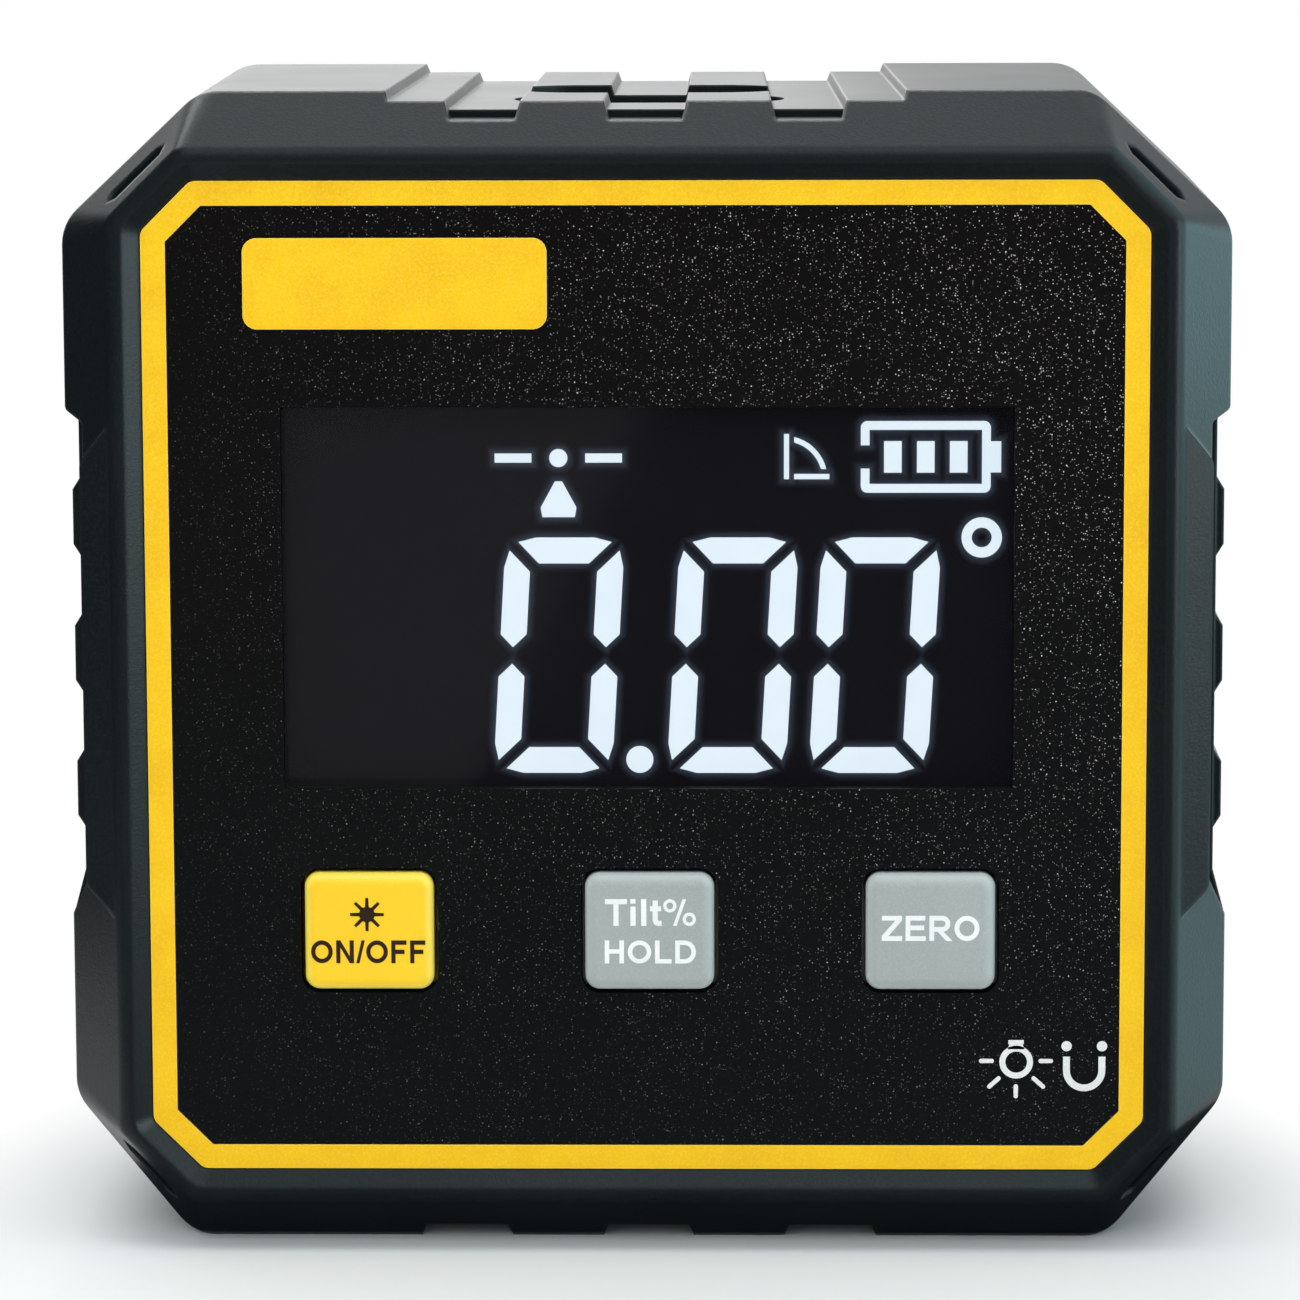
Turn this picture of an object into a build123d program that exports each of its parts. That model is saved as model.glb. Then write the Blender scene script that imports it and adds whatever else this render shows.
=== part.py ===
from build123d import *
import os
from math import cos, radians, sqrt, tan

# A pocket digital laser level in a square, eight-sided housing. X is to the right, Z is up, and the
# display faces -Y. The base rests on Z = 0, with the origin at its middle. Sizes are millimetres.

# Housing, outside
width = 62.0
height = 62.0
depth = 32.0
top_cut_run = 7.4             # upper corner cuts, along X
top_cut_rise = 7.0            # and along Z
bottom_cut_run = 6.3
bottom_cut_rise = 7.8
corner_radius = 2.6           # where a corner cut meets a side
bezel_depth = 4.8             # front half, from the crest of the rim to the joint
bevel_depth = 4.0             # sloping front faces, measured along Y
bevel_radius = 1.0            # corner edges of the bevel at its front end
rim_crest = 0.63              # width of the crest before it is rounded
rim_radius = 0.7
rim_slope = 0.95              # inner slope of the rim, in the plane of the face
rim_height = 0.6              # crest above the face
rim_round = 1.3               # corners of the inner slope at the crest
back_bevel = 2.2
wall = 2.4
front_wall = 2.0
back_wall = 2.2
tongue_length = 1.5           # locating lip of the bezel inside the tub
tongue_wall = 1.0
fit_gap = 0.05                # between moulded parts that locate each other
overrun = 1.0                 # how far a cut runs past a surface, or a rib is buried below one

# Stepped top
recess_narrowing = 0.94       # widths at the back, as a part of those at the joint
step_half_width = 13.75
step_drop = 0.5
floor_half_width = 10.75
floor_drop = 1.05             # floor of the tub below the top
lip_drop = 1.45               # lip of the bezel below the top
top_rib_pitch = 8.8
top_rib_width = 4.4
top_rib_drop = 0.5            # rib tops below the top
step_slant = 0.3              # lean of the step walls per millimetre of height

# Base
base_half_width = 12.3
base_drop = 0.9
base_rib_pitch = 9.8
base_rib_width = 4.9

# Grips on both sides, heights measured from the middle of the housing
grip_top = 14.1               # upper end of the recess at the surface
grip_bottom = -13.2
grip_top_run = 0.55           # length of the sloping end walls
grip_bottom_run = 2.3
grip_round = 0.35             # edges of the steep upper end wall
grip_drop = 0.62              # floor of the tub below the side
grip_lip_drop = 1.05          # lip of the bezel below the side
grip_lip_depth = 1.0          # front edge of the lip behind the crest
grip_lip_sink = 0.09          # its inner edge behind the crest
grip_lip_run = 2.0            # slanting ends of the lip
grip_lip_rise = 2.5           # height of its upper end
grip_lip_round = 0.8
grip_rib_count = 3
grip_rib_pitch = 7.38
grip_rib_centre = 0.77
grip_rib_width = 4.4
grip_rib_slope = 0.72
grip_rib_height = 0.45
grip_rib_setback = 0.6        # from the joint
grip_rib_length = 22.0

# Blind slots in the corner facets
corner_slot_length = 4.3
upper_slot_width = 1.0
lower_slot_width = 1.45
corner_slot_depth = 0.7
corner_slot_back = 1.85       # from the front end of the bevel, along Y

# Face: yellow frame, black panel, badge
frame_margin = 4.5            # from the side of the housing to the yellow frame
frame_cut = 2.65
frame_round = 0.7             # its outer corners
frame_band = 1.3
face_thickness = 0.8
badge_width = 16.0
badge_height = 4.8
badge_radius = 0.75
badge_thickness = 0.12
badge_left = 4.05             # from the left edge of the black panel
badge_drop = 1.7              # from its top edge

# Display
window_width = 38.6
window_height = 20.3
window_x = 0.1
window_z = 4.38
window_flange = 1.3
flange_thickness = 0.8
segment_depth = 0.1
lcd_margin = 0.3              # the cell is larger than the window by this all round
lcd_thickness = 1.6
guide_thickness = 2.6
tray_wall = 1.2
tray_floor = 1.1

# Keys
key_width = 6.9
key_height = 6.35
key_radius = 0.8
key_pitch = 14.95
key_row_x = 0.15
key_row_z = -13.5
key_proud = 0.5
key_gap = 0.2
key_travel = 0.4
key_play = 0.05
key_lip = 1.0                 # retaining flange behind the wall
key_lip_thickness = 0.8
key_stem = 2.8                # square stem behind the flange
switch_size = 5.2
switch_height = 1.5
plunger_size = 2.4
plunger_gap = 0.1
plunger_proud = 0.8
plunger_inside = 0.5
switch_room = 0.2             # left in the switch when the key is pressed

# Boards and screws
board_margin = 0.6
board_thickness = 1.2
post_x = 16.0
post_z = 22.0
post_size = 4.0
peg_size = 1.8                # through the board and flattened behind it
peg_gap = 0.1
peg_proud = 0.5
boss_inset = 7.2
boss_size = 5.6
boss_reach = 2.8              # from the joint to where the bosses meet
screw_radius = 1.1
screw_head_radius = 2.0
screw_head_height = 1.5
screw_sink = 0.5              # heads below the back face
screw_bite = 4.2              # thread in the bezel
screw_gap = 0.15
recess_length = 0.62          # cross recess, as a part of the head's diameter
recess_width = 0.45
recess_depth = 0.5
chip_size = 7.0
chip_thickness = 0.9
chip_x = -15.0
chip_z = -2.0
sensor_size = 3.0
sensor_x = 14.0
sensor_z = -4.0

# Laser
slot_length = 14.7
slot_width = 6.9
slot_setback = 9.1            # centre of the slot behind the joint
slot_ledge = 1.0
slot_rim = 1.5
ledge_thickness = 1.1
laser_window_thickness = 1.2
laser_window_sink = 0.7
barrel_radius = 4.0
barrel_length = 18.0
barrel_drop = 0.4             # top of the barrel below the ledge
barrel_bore = 2.9
lens_thickness = 1.5
diode_length = 3.6
holder_width = 12.0
holder_height = 9.0
holder_top = 22.6             # above the middle of the housing
holder_back_wall = 1.2
holder_hook = 1.6             # two hooked legs through the board
holder_hook_height = 4.0
holder_hook_x = 4.6
holder_hook_lip = 0.5

# Battery, charging board, leads
battery_width = 36.0
battery_height = 30.0
battery_thickness = 6.0
battery_z = 8.5
shelf_depth = 8.4
shelf_thickness = 2.2
shelf_z = -18.2               # its upper face, from the middle of the housing
charge_board_width = 26.0
charge_board_depth = 8.6
charge_board_thickness = 1.0
rail_width = 1.2              # on the shelf, beside the charging board
rail_height = 1.4
port_width = 8.94
port_height = 3.26
port_length = 7.3
port_wall = 0.3
port_tongue = 0.7
port_sink = 0.1
port_gap = 0.2
socket_width = 4.4
socket_height = 3.0
socket_depth = 3.6
battery_socket_x = 10.5
power_socket_x = -10.5
laser_socket_z = -3.0
lead_width = 2.4              # flat two-core leads
lead_thickness = 1.2
laser_socket_depth = 6.6      # reaches under the barrel

# Magnets in the base
magnet_inset = 12.5           # from the sides of the housing
magnet_setback = 13.2         # behind the joint
magnet_radius = 4.5
magnet_thickness = 2.5
magnet_sink = 0.1
magnet_gap = 0.05
magnet_wall = 1.2

# What the display shows, measured from the right and top edges of the window
digit_width = 6.33
digit_margin = 0.54           # below the digits
digit_top = 7.1
digit_bar = 1.38              # width of a lit bar
digit_gap = 0.64              # between neighbouring bars
digit_round = 1.6             # outer corners
digit_lean = 3.3              # degrees
digit_rights = (20.9, 11.65, 4.1)    # right side of each digit
point_x = 19.78
point_radius = 0.72
degree_x = 1.62
degree_radius = 1.07
degree_band = 0.54
mark_x = 24.05
mark_z = 2.85
mark_dash = 1.95
mark_dash_x = 2.4
mark_band = 0.48
pointer_z = 5.05
pointer_height = 1.9
pointer_width = 1.9
pointer_tip = 0.38
pointer_foot = 0.5
angle_x = 12.1
angle_z = 3.98
angle_size = 2.4
angle_radius = 2.03
angle_band = 0.27
cell_x = 4.6
cell_z = 2.8
cell_width = 6.87
cell_height = 3.81
cell_band = 0.46
cell_round = 0.35
cell_nub_length = 0.55
cell_nub_height = 1.65
cell_gap_height = 1.25
cell_bar_count = 3
cell_bar_pitch = 1.74
cell_bar_width = 0.93
cell_bar_height = 1.67

# Levels along Y, from the front to the back
front = -depth / 2
back = depth / 2
mid = height / 2
y_bevel = front + bevel_depth
y_joint = front + bezel_depth
y_face = front + rim_height
y_pocket = y_face + face_thickness
y_inner = y_pocket + front_wall
y_lens_back = y_pocket + flange_thickness
y_lcd = y_lens_back + segment_depth
y_guide = y_lcd + lcd_thickness
y_tray = y_guide + guide_thickness
y_board = y_tray + tray_floor
y_board_back = y_board + board_thickness
y_boss = y_joint + boss_reach
slot_y = y_joint + slot_setback
magnet_y = y_joint + magnet_setback
y_switch = y_board - switch_height
y_plunger = y_switch - plunger_proud
y_key_lip = y_inner + key_play
switch_bore = plunger_inside + key_travel + switch_room
y_tub_floor = back - back_wall


# Placing planes, all seen with the object upright
def facing(y):
    return Plane(origin=(0, y, mid), x_dir=(1, 0, 0), z_dir=(0, -1, 0))


def looking_down(z):
    return Plane.XY.offset(z)


rear_view = Plane(origin=(0, back, mid), x_dir=(-1, 0, 0), z_dir=(0, 1, 0))


# Outlines seen from the front, about the middle of the housing
def octagon(half_x, half_z, top_run, top_rise, bottom_run, bottom_rise):
    return [
        (half_x, half_z - top_rise),
        (half_x - top_run, half_z),
        (top_run - half_x, half_z),
        (-half_x, half_z - top_rise),
        (-half_x, bottom_rise - half_z),
        (bottom_run - half_x, -half_z),
        (half_x - bottom_run, -half_z),
        (half_x, bottom_rise - half_z),
    ]


def body_outline(inset, radius):
    with BuildSketch(mode=Mode.PRIVATE) as outline:
        Polygon(*octagon(width / 2, height / 2, top_cut_run, top_cut_rise, bottom_cut_run,
                         bottom_cut_rise), align=None)
        if inset:
            offset(amount=-inset, kind=Kind.INTERSECTION)
        if radius:
            fillet(outline.vertices(), radius)
    return outline.sketch


def frame_outline(grow, radius=0.0):
    half_x = width / 2 - frame_margin + grow
    half_z = height / 2 - frame_margin + grow
    cut = frame_cut + grow * (2 - sqrt(2))
    with BuildSketch(mode=Mode.PRIVATE) as outline:
        Polygon(*octagon(half_x, half_z, cut, cut, cut, cut), align=None)
        if radius:
            fillet(outline.vertices(), radius)
    return outline.sketch


# Recess along the top, with its ribs left standing
def top_recess(drop, narrowing=1.0):
    top = height / 2
    over = top + overrun
    with BuildSketch(mode=Mode.PRIVATE) as recess:
        for full_half_width, level in ((step_half_width, step_drop), (floor_half_width, drop)):
            half_width = full_half_width * narrowing
            low = half_width - step_slant * level
            Polygon((-low, top - level), (low, top - level), (half_width, top), (half_width, over),
                    (-half_width, over), (-half_width, top), align=None)
        rib_height = drop - top_rib_drop
        rib_half_width = top_rib_width / 2 * narrowing
        rib_x = top_rib_pitch / 2 * narrowing
        foot = rib_half_width + step_slant * rib_height
        with Locations((-rib_x, top - drop), (rib_x, top - drop)):
            Polygon((-foot, 0), (foot, 0), (rib_half_width, rib_height),
                    (-rib_half_width, rib_height), align=None, mode=Mode.SUBTRACT)
    return recess.sketch


def base_recess():
    bottom = -height / 2
    with BuildSketch(mode=Mode.PRIVATE) as recess:
        low = base_half_width - step_slant * base_drop
        Polygon((-base_half_width, bottom - overrun), (base_half_width, bottom - overrun),
                (base_half_width, bottom), (low, bottom + base_drop), (-low, bottom + base_drop),
                (-base_half_width, bottom), align=None)
        foot = base_rib_width / 2 + step_slant * base_drop
        with Locations((-base_rib_pitch / 2, bottom), (base_rib_pitch / 2, bottom)):
            Polygon((-foot, base_drop), (-base_rib_width / 2, 0), (-base_rib_width / 2, -overrun),
                    (base_rib_width / 2, -overrun), (base_rib_width / 2, 0), (foot, base_drop),
                    align=None, mode=Mode.SUBTRACT)
    return recess.sketch


# Recess for the fingers on both sides
def side_recess(drop):
    side = width / 2
    with BuildSketch(mode=Mode.PRIVATE) as recess:
        Polygon((side + overrun, grip_top + overrun), (side, grip_top + overrun), (side, grip_top),
                (side - drop, grip_top - grip_top_run), (side - drop, grip_bottom + grip_bottom_run),
                (side, grip_bottom), (side + overrun, grip_bottom), align=None)
        levels = recess.vertices().group_by(Axis.Y)
        fillet(levels[-2] + levels[-3], grip_round)
        mirror(about=Plane.YZ)
    return recess.sketch


def four_corners(x, z):
    return [(-x, -z), (x, -z), (-x, z), (x, z)]


outer_outline = body_outline(0, corner_radius)
boss_points = four_corners(width / 2 - boss_inset, height / 2 - boss_inset)
post_points = four_corners(post_x, post_z)
key_points = [(key_row_x + i * key_pitch, key_row_z) for i in (-1, 0, 1)]


# Lip of the bezel at the grips: a shoulder that carries the front face outwards
lip_side = width / 2 - grip_lip_drop
lip_inner = width / 2 - frame_margin + rim_slope
with BuildPart() as grip_lip:
    with BuildSketch(Plane.XY.offset(mid + grip_bottom)) as lip_section:
        Polygon((lip_inner - overrun, y_joint), (lip_side, y_joint),
                (lip_side, front + grip_lip_depth), (lip_inner, front + grip_lip_sink),
                (lip_inner - overrun, y_face), align=None)
    extrude(amount=grip_top - grip_bottom)
    with BuildSketch(facing(y_joint)) as lip_outline:
        Polygon((lip_inner - overrun, grip_top), (lip_side - grip_lip_run, grip_top),
                (lip_side, grip_top - grip_lip_rise), (lip_side, grip_bottom + grip_lip_run),
                (lip_side - grip_lip_run, grip_bottom), (lip_inner - overrun, grip_bottom),
                align=None)
        fillet(lip_outline.vertices().group_by(Axis.X)[-1], grip_lip_round)
    extrude(amount=bezel_depth, mode=Mode.INTERSECT)

# Front half of the housing
crest_grow = rim_slope + rim_crest
crest_reach = (width + height) / 2 - 2 * frame_margin - frame_cut + sqrt(2) * crest_grow
with BuildPart() as front_bezel:
    with BuildSketch(facing(y_joint)):
        add(outer_outline)
    extrude(amount=y_joint - y_bevel)
    with BuildSketch(facing(y_bevel)):
        add(outer_outline)
    with BuildSketch(facing(front)):
        add(frame_outline(crest_grow, bevel_radius))
    loft(ruled=True)
    fillet(front_bezel.faces().sort_by(Axis.Y)[0].outer_wire().edges(), rim_radius)
    with BuildSketch(facing(y_joint)):
        add(top_recess(lip_drop))
        add(base_recess())
        add(side_recess(grip_lip_drop))
    extrude(amount=bezel_depth, mode=Mode.SUBTRACT)
    add(grip_lip.part)
    mirror(grip_lip.part, about=Plane.YZ)
    # pocket for the face, with the inner slope of the rim
    with BuildSketch(facing(front)):
        add(frame_outline(rim_slope, rim_round))
    with BuildSketch(facing(y_face)):
        add(frame_outline(fit_gap, frame_round + fit_gap))
    loft(ruled=True, mode=Mode.SUBTRACT)
    with BuildSketch(facing(y_face)):
        add(frame_outline(fit_gap, frame_round + fit_gap))
    extrude(amount=y_face - y_pocket, mode=Mode.SUBTRACT)
    # locating tongue and the hollow behind the front wall
    with BuildSketch(facing(y_joint)):
        add(body_outline(wall + fit_gap, 0))
    extrude(amount=-tongue_length)
    with BuildSketch(facing(y_inner)):
        add(body_outline(wall + fit_gap + tongue_wall, 0))
    extrude(amount=y_inner - y_joint - tongue_length, mode=Mode.SUBTRACT)
    # seat of the display window, and the opening behind it
    with BuildSketch(facing(y_pocket)):
        with Locations((window_x, window_z)):
            Rectangle(window_width + 2 * (window_flange + fit_gap),
                      window_height + 2 * (window_flange + fit_gap))
    extrude(amount=y_pocket - y_lens_back, mode=Mode.SUBTRACT)
    with BuildSketch(facing(y_pocket)):
        with Locations((window_x, window_z)):
            Rectangle(window_width + 2 * (lcd_margin + fit_gap),
                      window_height + 2 * (lcd_margin + fit_gap))
        with Locations(*key_points):
            Rectangle(key_width + 2 * key_gap, key_height + 2 * key_gap)
    extrude(amount=y_pocket - y_inner, mode=Mode.SUBTRACT)
    # bosses for the long screws, and posts with pegs for the main board
    with BuildSketch(facing(y_inner)):
        with Locations(*boss_points):
            Rectangle(boss_size, boss_size)
        add(body_outline(wall + fit_gap, 0), mode=Mode.INTERSECT)
    extrude(amount=y_inner - y_boss)
    with BuildSketch(facing(y_inner)):
        with Locations(*post_points):
            Rectangle(post_size, post_size)
    extrude(amount=y_inner - y_board)
    with BuildSketch(facing(y_board)):
        with Locations(*post_points):
            Rectangle(peg_size, peg_size)
    extrude(amount=-board_thickness - peg_proud)
    with BuildSketch(facing(y_boss)):
        with Locations(*boss_points):
            Circle(screw_radius)
    extrude(amount=screw_bite + screw_gap, mode=Mode.SUBTRACT)
    # blind slots in the four corner facets
    for side_x in (-1, 1):
        for side_z in (-1, 1):
            cut = top_cut_run + top_cut_rise if side_z > 0 else bottom_cut_run + bottom_cut_rise
            outer_reach = (width + height - cut) / 2
            spread = outer_reach - crest_reach
            reach = (crest_reach + spread * corner_slot_back / bevel_depth) / 2
            lean = spread / sqrt(2) / bevel_depth
            outward = Vector(side_x / sqrt(2), -lean, side_z / sqrt(2))
            facet = Plane(origin=(side_x * reach, front + corner_slot_back, mid + side_z * reach),
                          x_dir=(side_x, 0, -side_z), z_dir=outward)
            half_length = corner_slot_length / 2
            half_width = (upper_slot_width if side_z > 0 else lower_slot_width) / 2
            shoulder = half_length - half_width
            with BuildSketch(facet.offset(-corner_slot_depth)):
                Polygon((half_length, 0), (shoulder, half_width), (-shoulder, half_width),
                        (-half_length, 0), (-shoulder, -half_width), (shoulder, -half_width),
                        align=None)
            extrude(amount=2 * corner_slot_depth, mode=Mode.SUBTRACT)
front_bezel.part.label = "front_bezel"

# Rear half of the housing
tub_ceiling = height - wall
slot_floor = height - floor_drop - laser_window_sink - laser_window_thickness
slot_bottom = slot_floor - ledge_thickness
magnet_x = width / 2 - magnet_inset
magnet_points = [(-magnet_x, magnet_y), (magnet_x, magnet_y)]
magnet_boss = 2 * (magnet_radius + magnet_gap + magnet_wall)
port_z = shelf_z + charge_board_thickness + port_height / 2
rail_x = (charge_board_width + rail_width) / 2 + fit_gap
shelf_width = charge_board_width + 2 * (fit_gap + rail_width)
with BuildPart() as rear_housing:
    with BuildSketch(facing(y_joint)):
        add(outer_outline)
    extrude(amount=y_joint - back)
    chamfer(rear_housing.faces().sort_by(Axis.Y)[-1].edges(), back_bevel)
    with BuildSketch(facing(y_joint)):
        add(top_recess(floor_drop))
    with BuildSketch(facing(back)):
        add(top_recess(floor_drop, recess_narrowing))
    loft(ruled=True, mode=Mode.SUBTRACT)
    with BuildSketch(facing(y_joint)):
        add(base_recess())
        add(side_recess(grip_drop))
    extrude(amount=y_joint - back, mode=Mode.SUBTRACT)
    # grip ribs on the floor of the side recesses
    with BuildSketch(facing(y_joint + grip_rib_setback)) as grip_ribs:
        floor_x = width / 2 - grip_drop
        half = grip_rib_width / 2
        crest = half - grip_rib_slope
        with Locations((0, grip_rib_centre)):
            with GridLocations(1, grip_rib_pitch, 1, grip_rib_count):
                Polygon((floor_x - overrun, -half), (floor_x, -half),
                        (floor_x + grip_rib_height, -crest), (floor_x + grip_rib_height, crest),
                        (floor_x, half), (floor_x - overrun, half), align=None)
        mirror(about=Plane.YZ)
    extrude(amount=-grip_rib_length)
    # hollow
    with BuildSketch(facing(y_joint)):
        add(body_outline(wall, 0))
    extrude(amount=y_joint - y_tub_floor, mode=Mode.SUBTRACT)
    # screw bosses
    with BuildSketch(facing(y_boss)):
        with Locations(*boss_points):
            Rectangle(boss_size, boss_size)
        add(body_outline(wall / 2, 0), mode=Mode.INTERSECT)
    extrude(amount=y_boss - y_tub_floor)
    with Locations(rear_view):
        with Locations(*boss_points):
            CounterBoreHole(screw_radius + screw_gap, screw_head_radius + screw_gap,
                            screw_head_height + screw_sink, back - y_boss)
    # seat and opening for the laser
    with BuildSketch(looking_down(slot_bottom)):
        with Locations((0, slot_y)):
            Rectangle(slot_length + 2 * slot_rim, slot_width + 2 * slot_rim)
    extrude(amount=tub_ceiling - slot_bottom)
    with BuildSketch(looking_down(slot_bottom)):
        with Locations((0, slot_y)):
            Rectangle(slot_length - slot_width, slot_width - 2 * slot_ledge)
    extrude(amount=slot_floor - slot_bottom, mode=Mode.SUBTRACT)
    with BuildSketch(looking_down(slot_floor)):
        with Locations((0, slot_y)):
            SlotOverall(slot_length, slot_width)
    extrude(amount=height - slot_floor, mode=Mode.SUBTRACT)
    # pockets for the magnets, open below
    with BuildSketch(looking_down(wall)):
        with Locations(*magnet_points):
            Rectangle(magnet_boss, magnet_boss)
    extrude(amount=magnet_thickness + magnet_sink + magnet_wall - wall)
    with BuildSketch(looking_down(0)):
        with Locations(*magnet_points):
            Circle(magnet_radius + magnet_gap)
    extrude(amount=magnet_thickness + magnet_sink, mode=Mode.SUBTRACT)
    # shelf for the charging board, and the opening for its port
    with BuildSketch(facing(y_tub_floor)):
        with Locations((0, shelf_z)):
            Rectangle(shelf_width, shelf_thickness, align=(Align.CENTER, Align.MAX))
        with Locations((-rail_x, shelf_z), (rail_x, shelf_z)):
            Rectangle(rail_width, rail_height, align=(Align.CENTER, Align.MIN))
    extrude(amount=shelf_depth)
    with BuildSketch(facing(y_tub_floor)):
        with Locations((0, port_z)):
            SlotOverall(port_width + 2 * port_gap, port_height + 2 * port_gap)
    extrude(amount=-back_wall, mode=Mode.SUBTRACT)
rear_housing.part.label = "rear_housing"

# Yellow frame and black panel
with BuildPart() as trim_ring:
    with BuildSketch(facing(y_pocket)):
        add(frame_outline(0, frame_round))
        add(frame_outline(-frame_band), mode=Mode.SUBTRACT)
    extrude(amount=face_thickness)
trim_ring.part.label = "trim_ring"

with BuildPart() as face_panel:
    with BuildSketch(facing(y_pocket)):
        add(frame_outline(-frame_band - fit_gap))
        with Locations((window_x, window_z)):
            Rectangle(window_width + 2 * fit_gap, window_height + 2 * fit_gap, mode=Mode.SUBTRACT)
        with Locations(*key_points):
            RectangleRounded(key_width + 2 * key_gap, key_height + 2 * key_gap,
                             key_radius + key_gap, mode=Mode.SUBTRACT)
    extrude(amount=face_thickness)
face_panel.part.label = "face_panel"

panel_half_x = width / 2 - frame_margin - frame_band
panel_half_z = height / 2 - frame_margin - frame_band
with BuildPart() as badge:
    with BuildSketch(facing(y_face)):
        with Locations((badge_left + badge_width / 2 - panel_half_x,
                        panel_half_z - badge_drop - badge_height / 2)):
            RectangleRounded(badge_width, badge_height, badge_radius)
    extrude(amount=badge_thickness)
badge.part.label = "badge"

# Display, from the front to the back
with BuildPart() as display_window:
    with BuildSketch(facing(y_lens_back)):
        with Locations((window_x, window_z)):
            Rectangle(window_width + 2 * window_flange, window_height + 2 * window_flange)
    extrude(amount=flange_thickness)
    with BuildSketch(facing(y_pocket)):
        with Locations((window_x, window_z)):
            Rectangle(window_width, window_height)
    extrude(amount=face_thickness)
display_window.part.label = "display_window"

view_right = window_x + window_width / 2
view_top = window_z + window_height / 2
digit_height = window_height - digit_top - digit_margin
digit_middle = view_top - digit_top - digit_height / 2


def digit_bars(right):
    # six lit bars of a nought: two lying, four standing, leaning to the right
    a, b, t = digit_width / 2, digit_height / 2, digit_bar
    centre = view_right - right - a
    g = digit_gap / sqrt(2)
    r = digit_round
    arc = r * (1 - cos(radians(45)))
    lying = [(0, b), (a - r, b), (a - arc - g / 2, b - arc + g / 2), (a - t - g, b - t), (0, b - t)]
    standing = [(a - arc + g / 2, b - arc - g / 2), (a, b - r), (a, g + t / 2), (a - t / 2, g),
                (a - t, g + t / 2), (a - t, b - t - g)]
    for side_z in (-1, 1):
        right_half = [(x, side_z * z) for x, z in lying]
        left_half = [(-x, z) for x, z in reversed(right_half)]
        bars = [right_half + left_half[1:-1]]
        bars += [[(side_x * x, side_z * z) for x, z in standing] for side_x in (-1, 1)]
        for bar in bars:
            points = [(centre + x + z * tan(radians(digit_lean)), digit_middle + z) for x, z in bar]
            Polygon(*points, align=None)


with BuildPart() as display_segments:
    with BuildSketch(facing(y_lcd)):
        for right in digit_rights:
            digit_bars(right)
        with Locations((view_right - point_x, digit_middle - digit_height / 2 + point_radius)):
            Circle(point_radius)
        with Locations((view_right - degree_x, digit_middle + digit_height / 2)):
            Circle(degree_radius)
            Circle(degree_radius - degree_band, mode=Mode.SUBTRACT)
        # level mark: two dashes and a dot, with a pointer below
        with Locations((view_right - mark_x, view_top - mark_z)):
            Circle(mark_band)
            with GridLocations(2 * mark_dash_x, 1, 2, 1):
                Rectangle(mark_dash, mark_band)
        with Locations((view_right - mark_x, view_top - pointer_z)):
            Polygon((-pointer_tip / 2, pointer_height / 2), (pointer_tip / 2, pointer_height / 2),
                    (pointer_width / 2, pointer_foot - pointer_height / 2),
                    (pointer_width / 2 - pointer_tip / 4, -pointer_height / 2),
                    (pointer_tip / 4 - pointer_width / 2, -pointer_height / 2),
                    (-pointer_width / 2, pointer_foot - pointer_height / 2), align=None)
        # angle sign: an upright, a base and a quarter arc
        with Locations((view_right - angle_x, view_top - angle_z)):
            Rectangle(angle_band, angle_size, align=(Align.MIN, Align.MIN))
            with Locations((2 * angle_band, 0)):
                Rectangle(angle_size - 2 * angle_band, angle_band, align=(Align.MIN, Align.MIN))
        with BuildSketch(mode=Mode.PRIVATE) as quarter:
            with Locations((view_right - angle_x, view_top - angle_z)):
                Circle(angle_radius + angle_band)
                Circle(angle_radius, mode=Mode.SUBTRACT)
                with Locations((2 * angle_band, 2 * angle_band)):
                    Rectangle(angle_size, angle_size, align=(Align.MIN, Align.MIN),
                              mode=Mode.INTERSECT)
        add(quarter.sketch)
        # battery sign: open case, nub and charge bars
        with Locations((view_right - cell_x, view_top - cell_z)):
            RectangleRounded(cell_width, cell_height, cell_round)
            Rectangle(cell_width - 2 * cell_band, cell_height - 2 * cell_band, mode=Mode.SUBTRACT)
            with Locations((-cell_width / 2, 0)):
                Rectangle(2 * cell_band, cell_gap_height, mode=Mode.SUBTRACT)
            with Locations((cell_width / 2, 0)):
                Rectangle(cell_nub_length, cell_nub_height, align=(Align.MIN, Align.CENTER))
            with GridLocations(cell_bar_pitch, 1, cell_bar_count, 1):
                Rectangle(cell_bar_width, cell_bar_height)
    extrude(amount=segment_depth)
display_segments.part.label = "display_segments"

cell_size = (window_width + 2 * lcd_margin, window_height + 2 * lcd_margin)
with BuildPart() as lcd_cell:
    with BuildSketch(facing(y_guide)):
        with Locations((window_x, window_z)):
            Rectangle(*cell_size)
    extrude(amount=lcd_thickness)
lcd_cell.part.label = "lcd_cell"

with BuildPart() as light_guide:
    with BuildSketch(facing(y_tray)):
        with Locations((window_x, window_z)):
            Rectangle(*cell_size)
    extrude(amount=guide_thickness)
light_guide.part.label = "light_guide"

with BuildPart() as lcd_tray:
    with BuildSketch(facing(y_board)):
        with Locations((window_x, window_z)):
            Rectangle(cell_size[0] + 2 * (tray_wall + fit_gap),
                      cell_size[1] + 2 * (tray_wall + fit_gap))
    extrude(amount=y_board - y_inner)
    with BuildSketch(facing(y_tray)):
        with Locations((window_x, window_z)):
            Rectangle(cell_size[0] + 2 * fit_gap, cell_size[1] + 2 * fit_gap)
    extrude(amount=y_tray - y_inner, mode=Mode.SUBTRACT)
lcd_tray.part.label = "lcd_tray"


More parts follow.
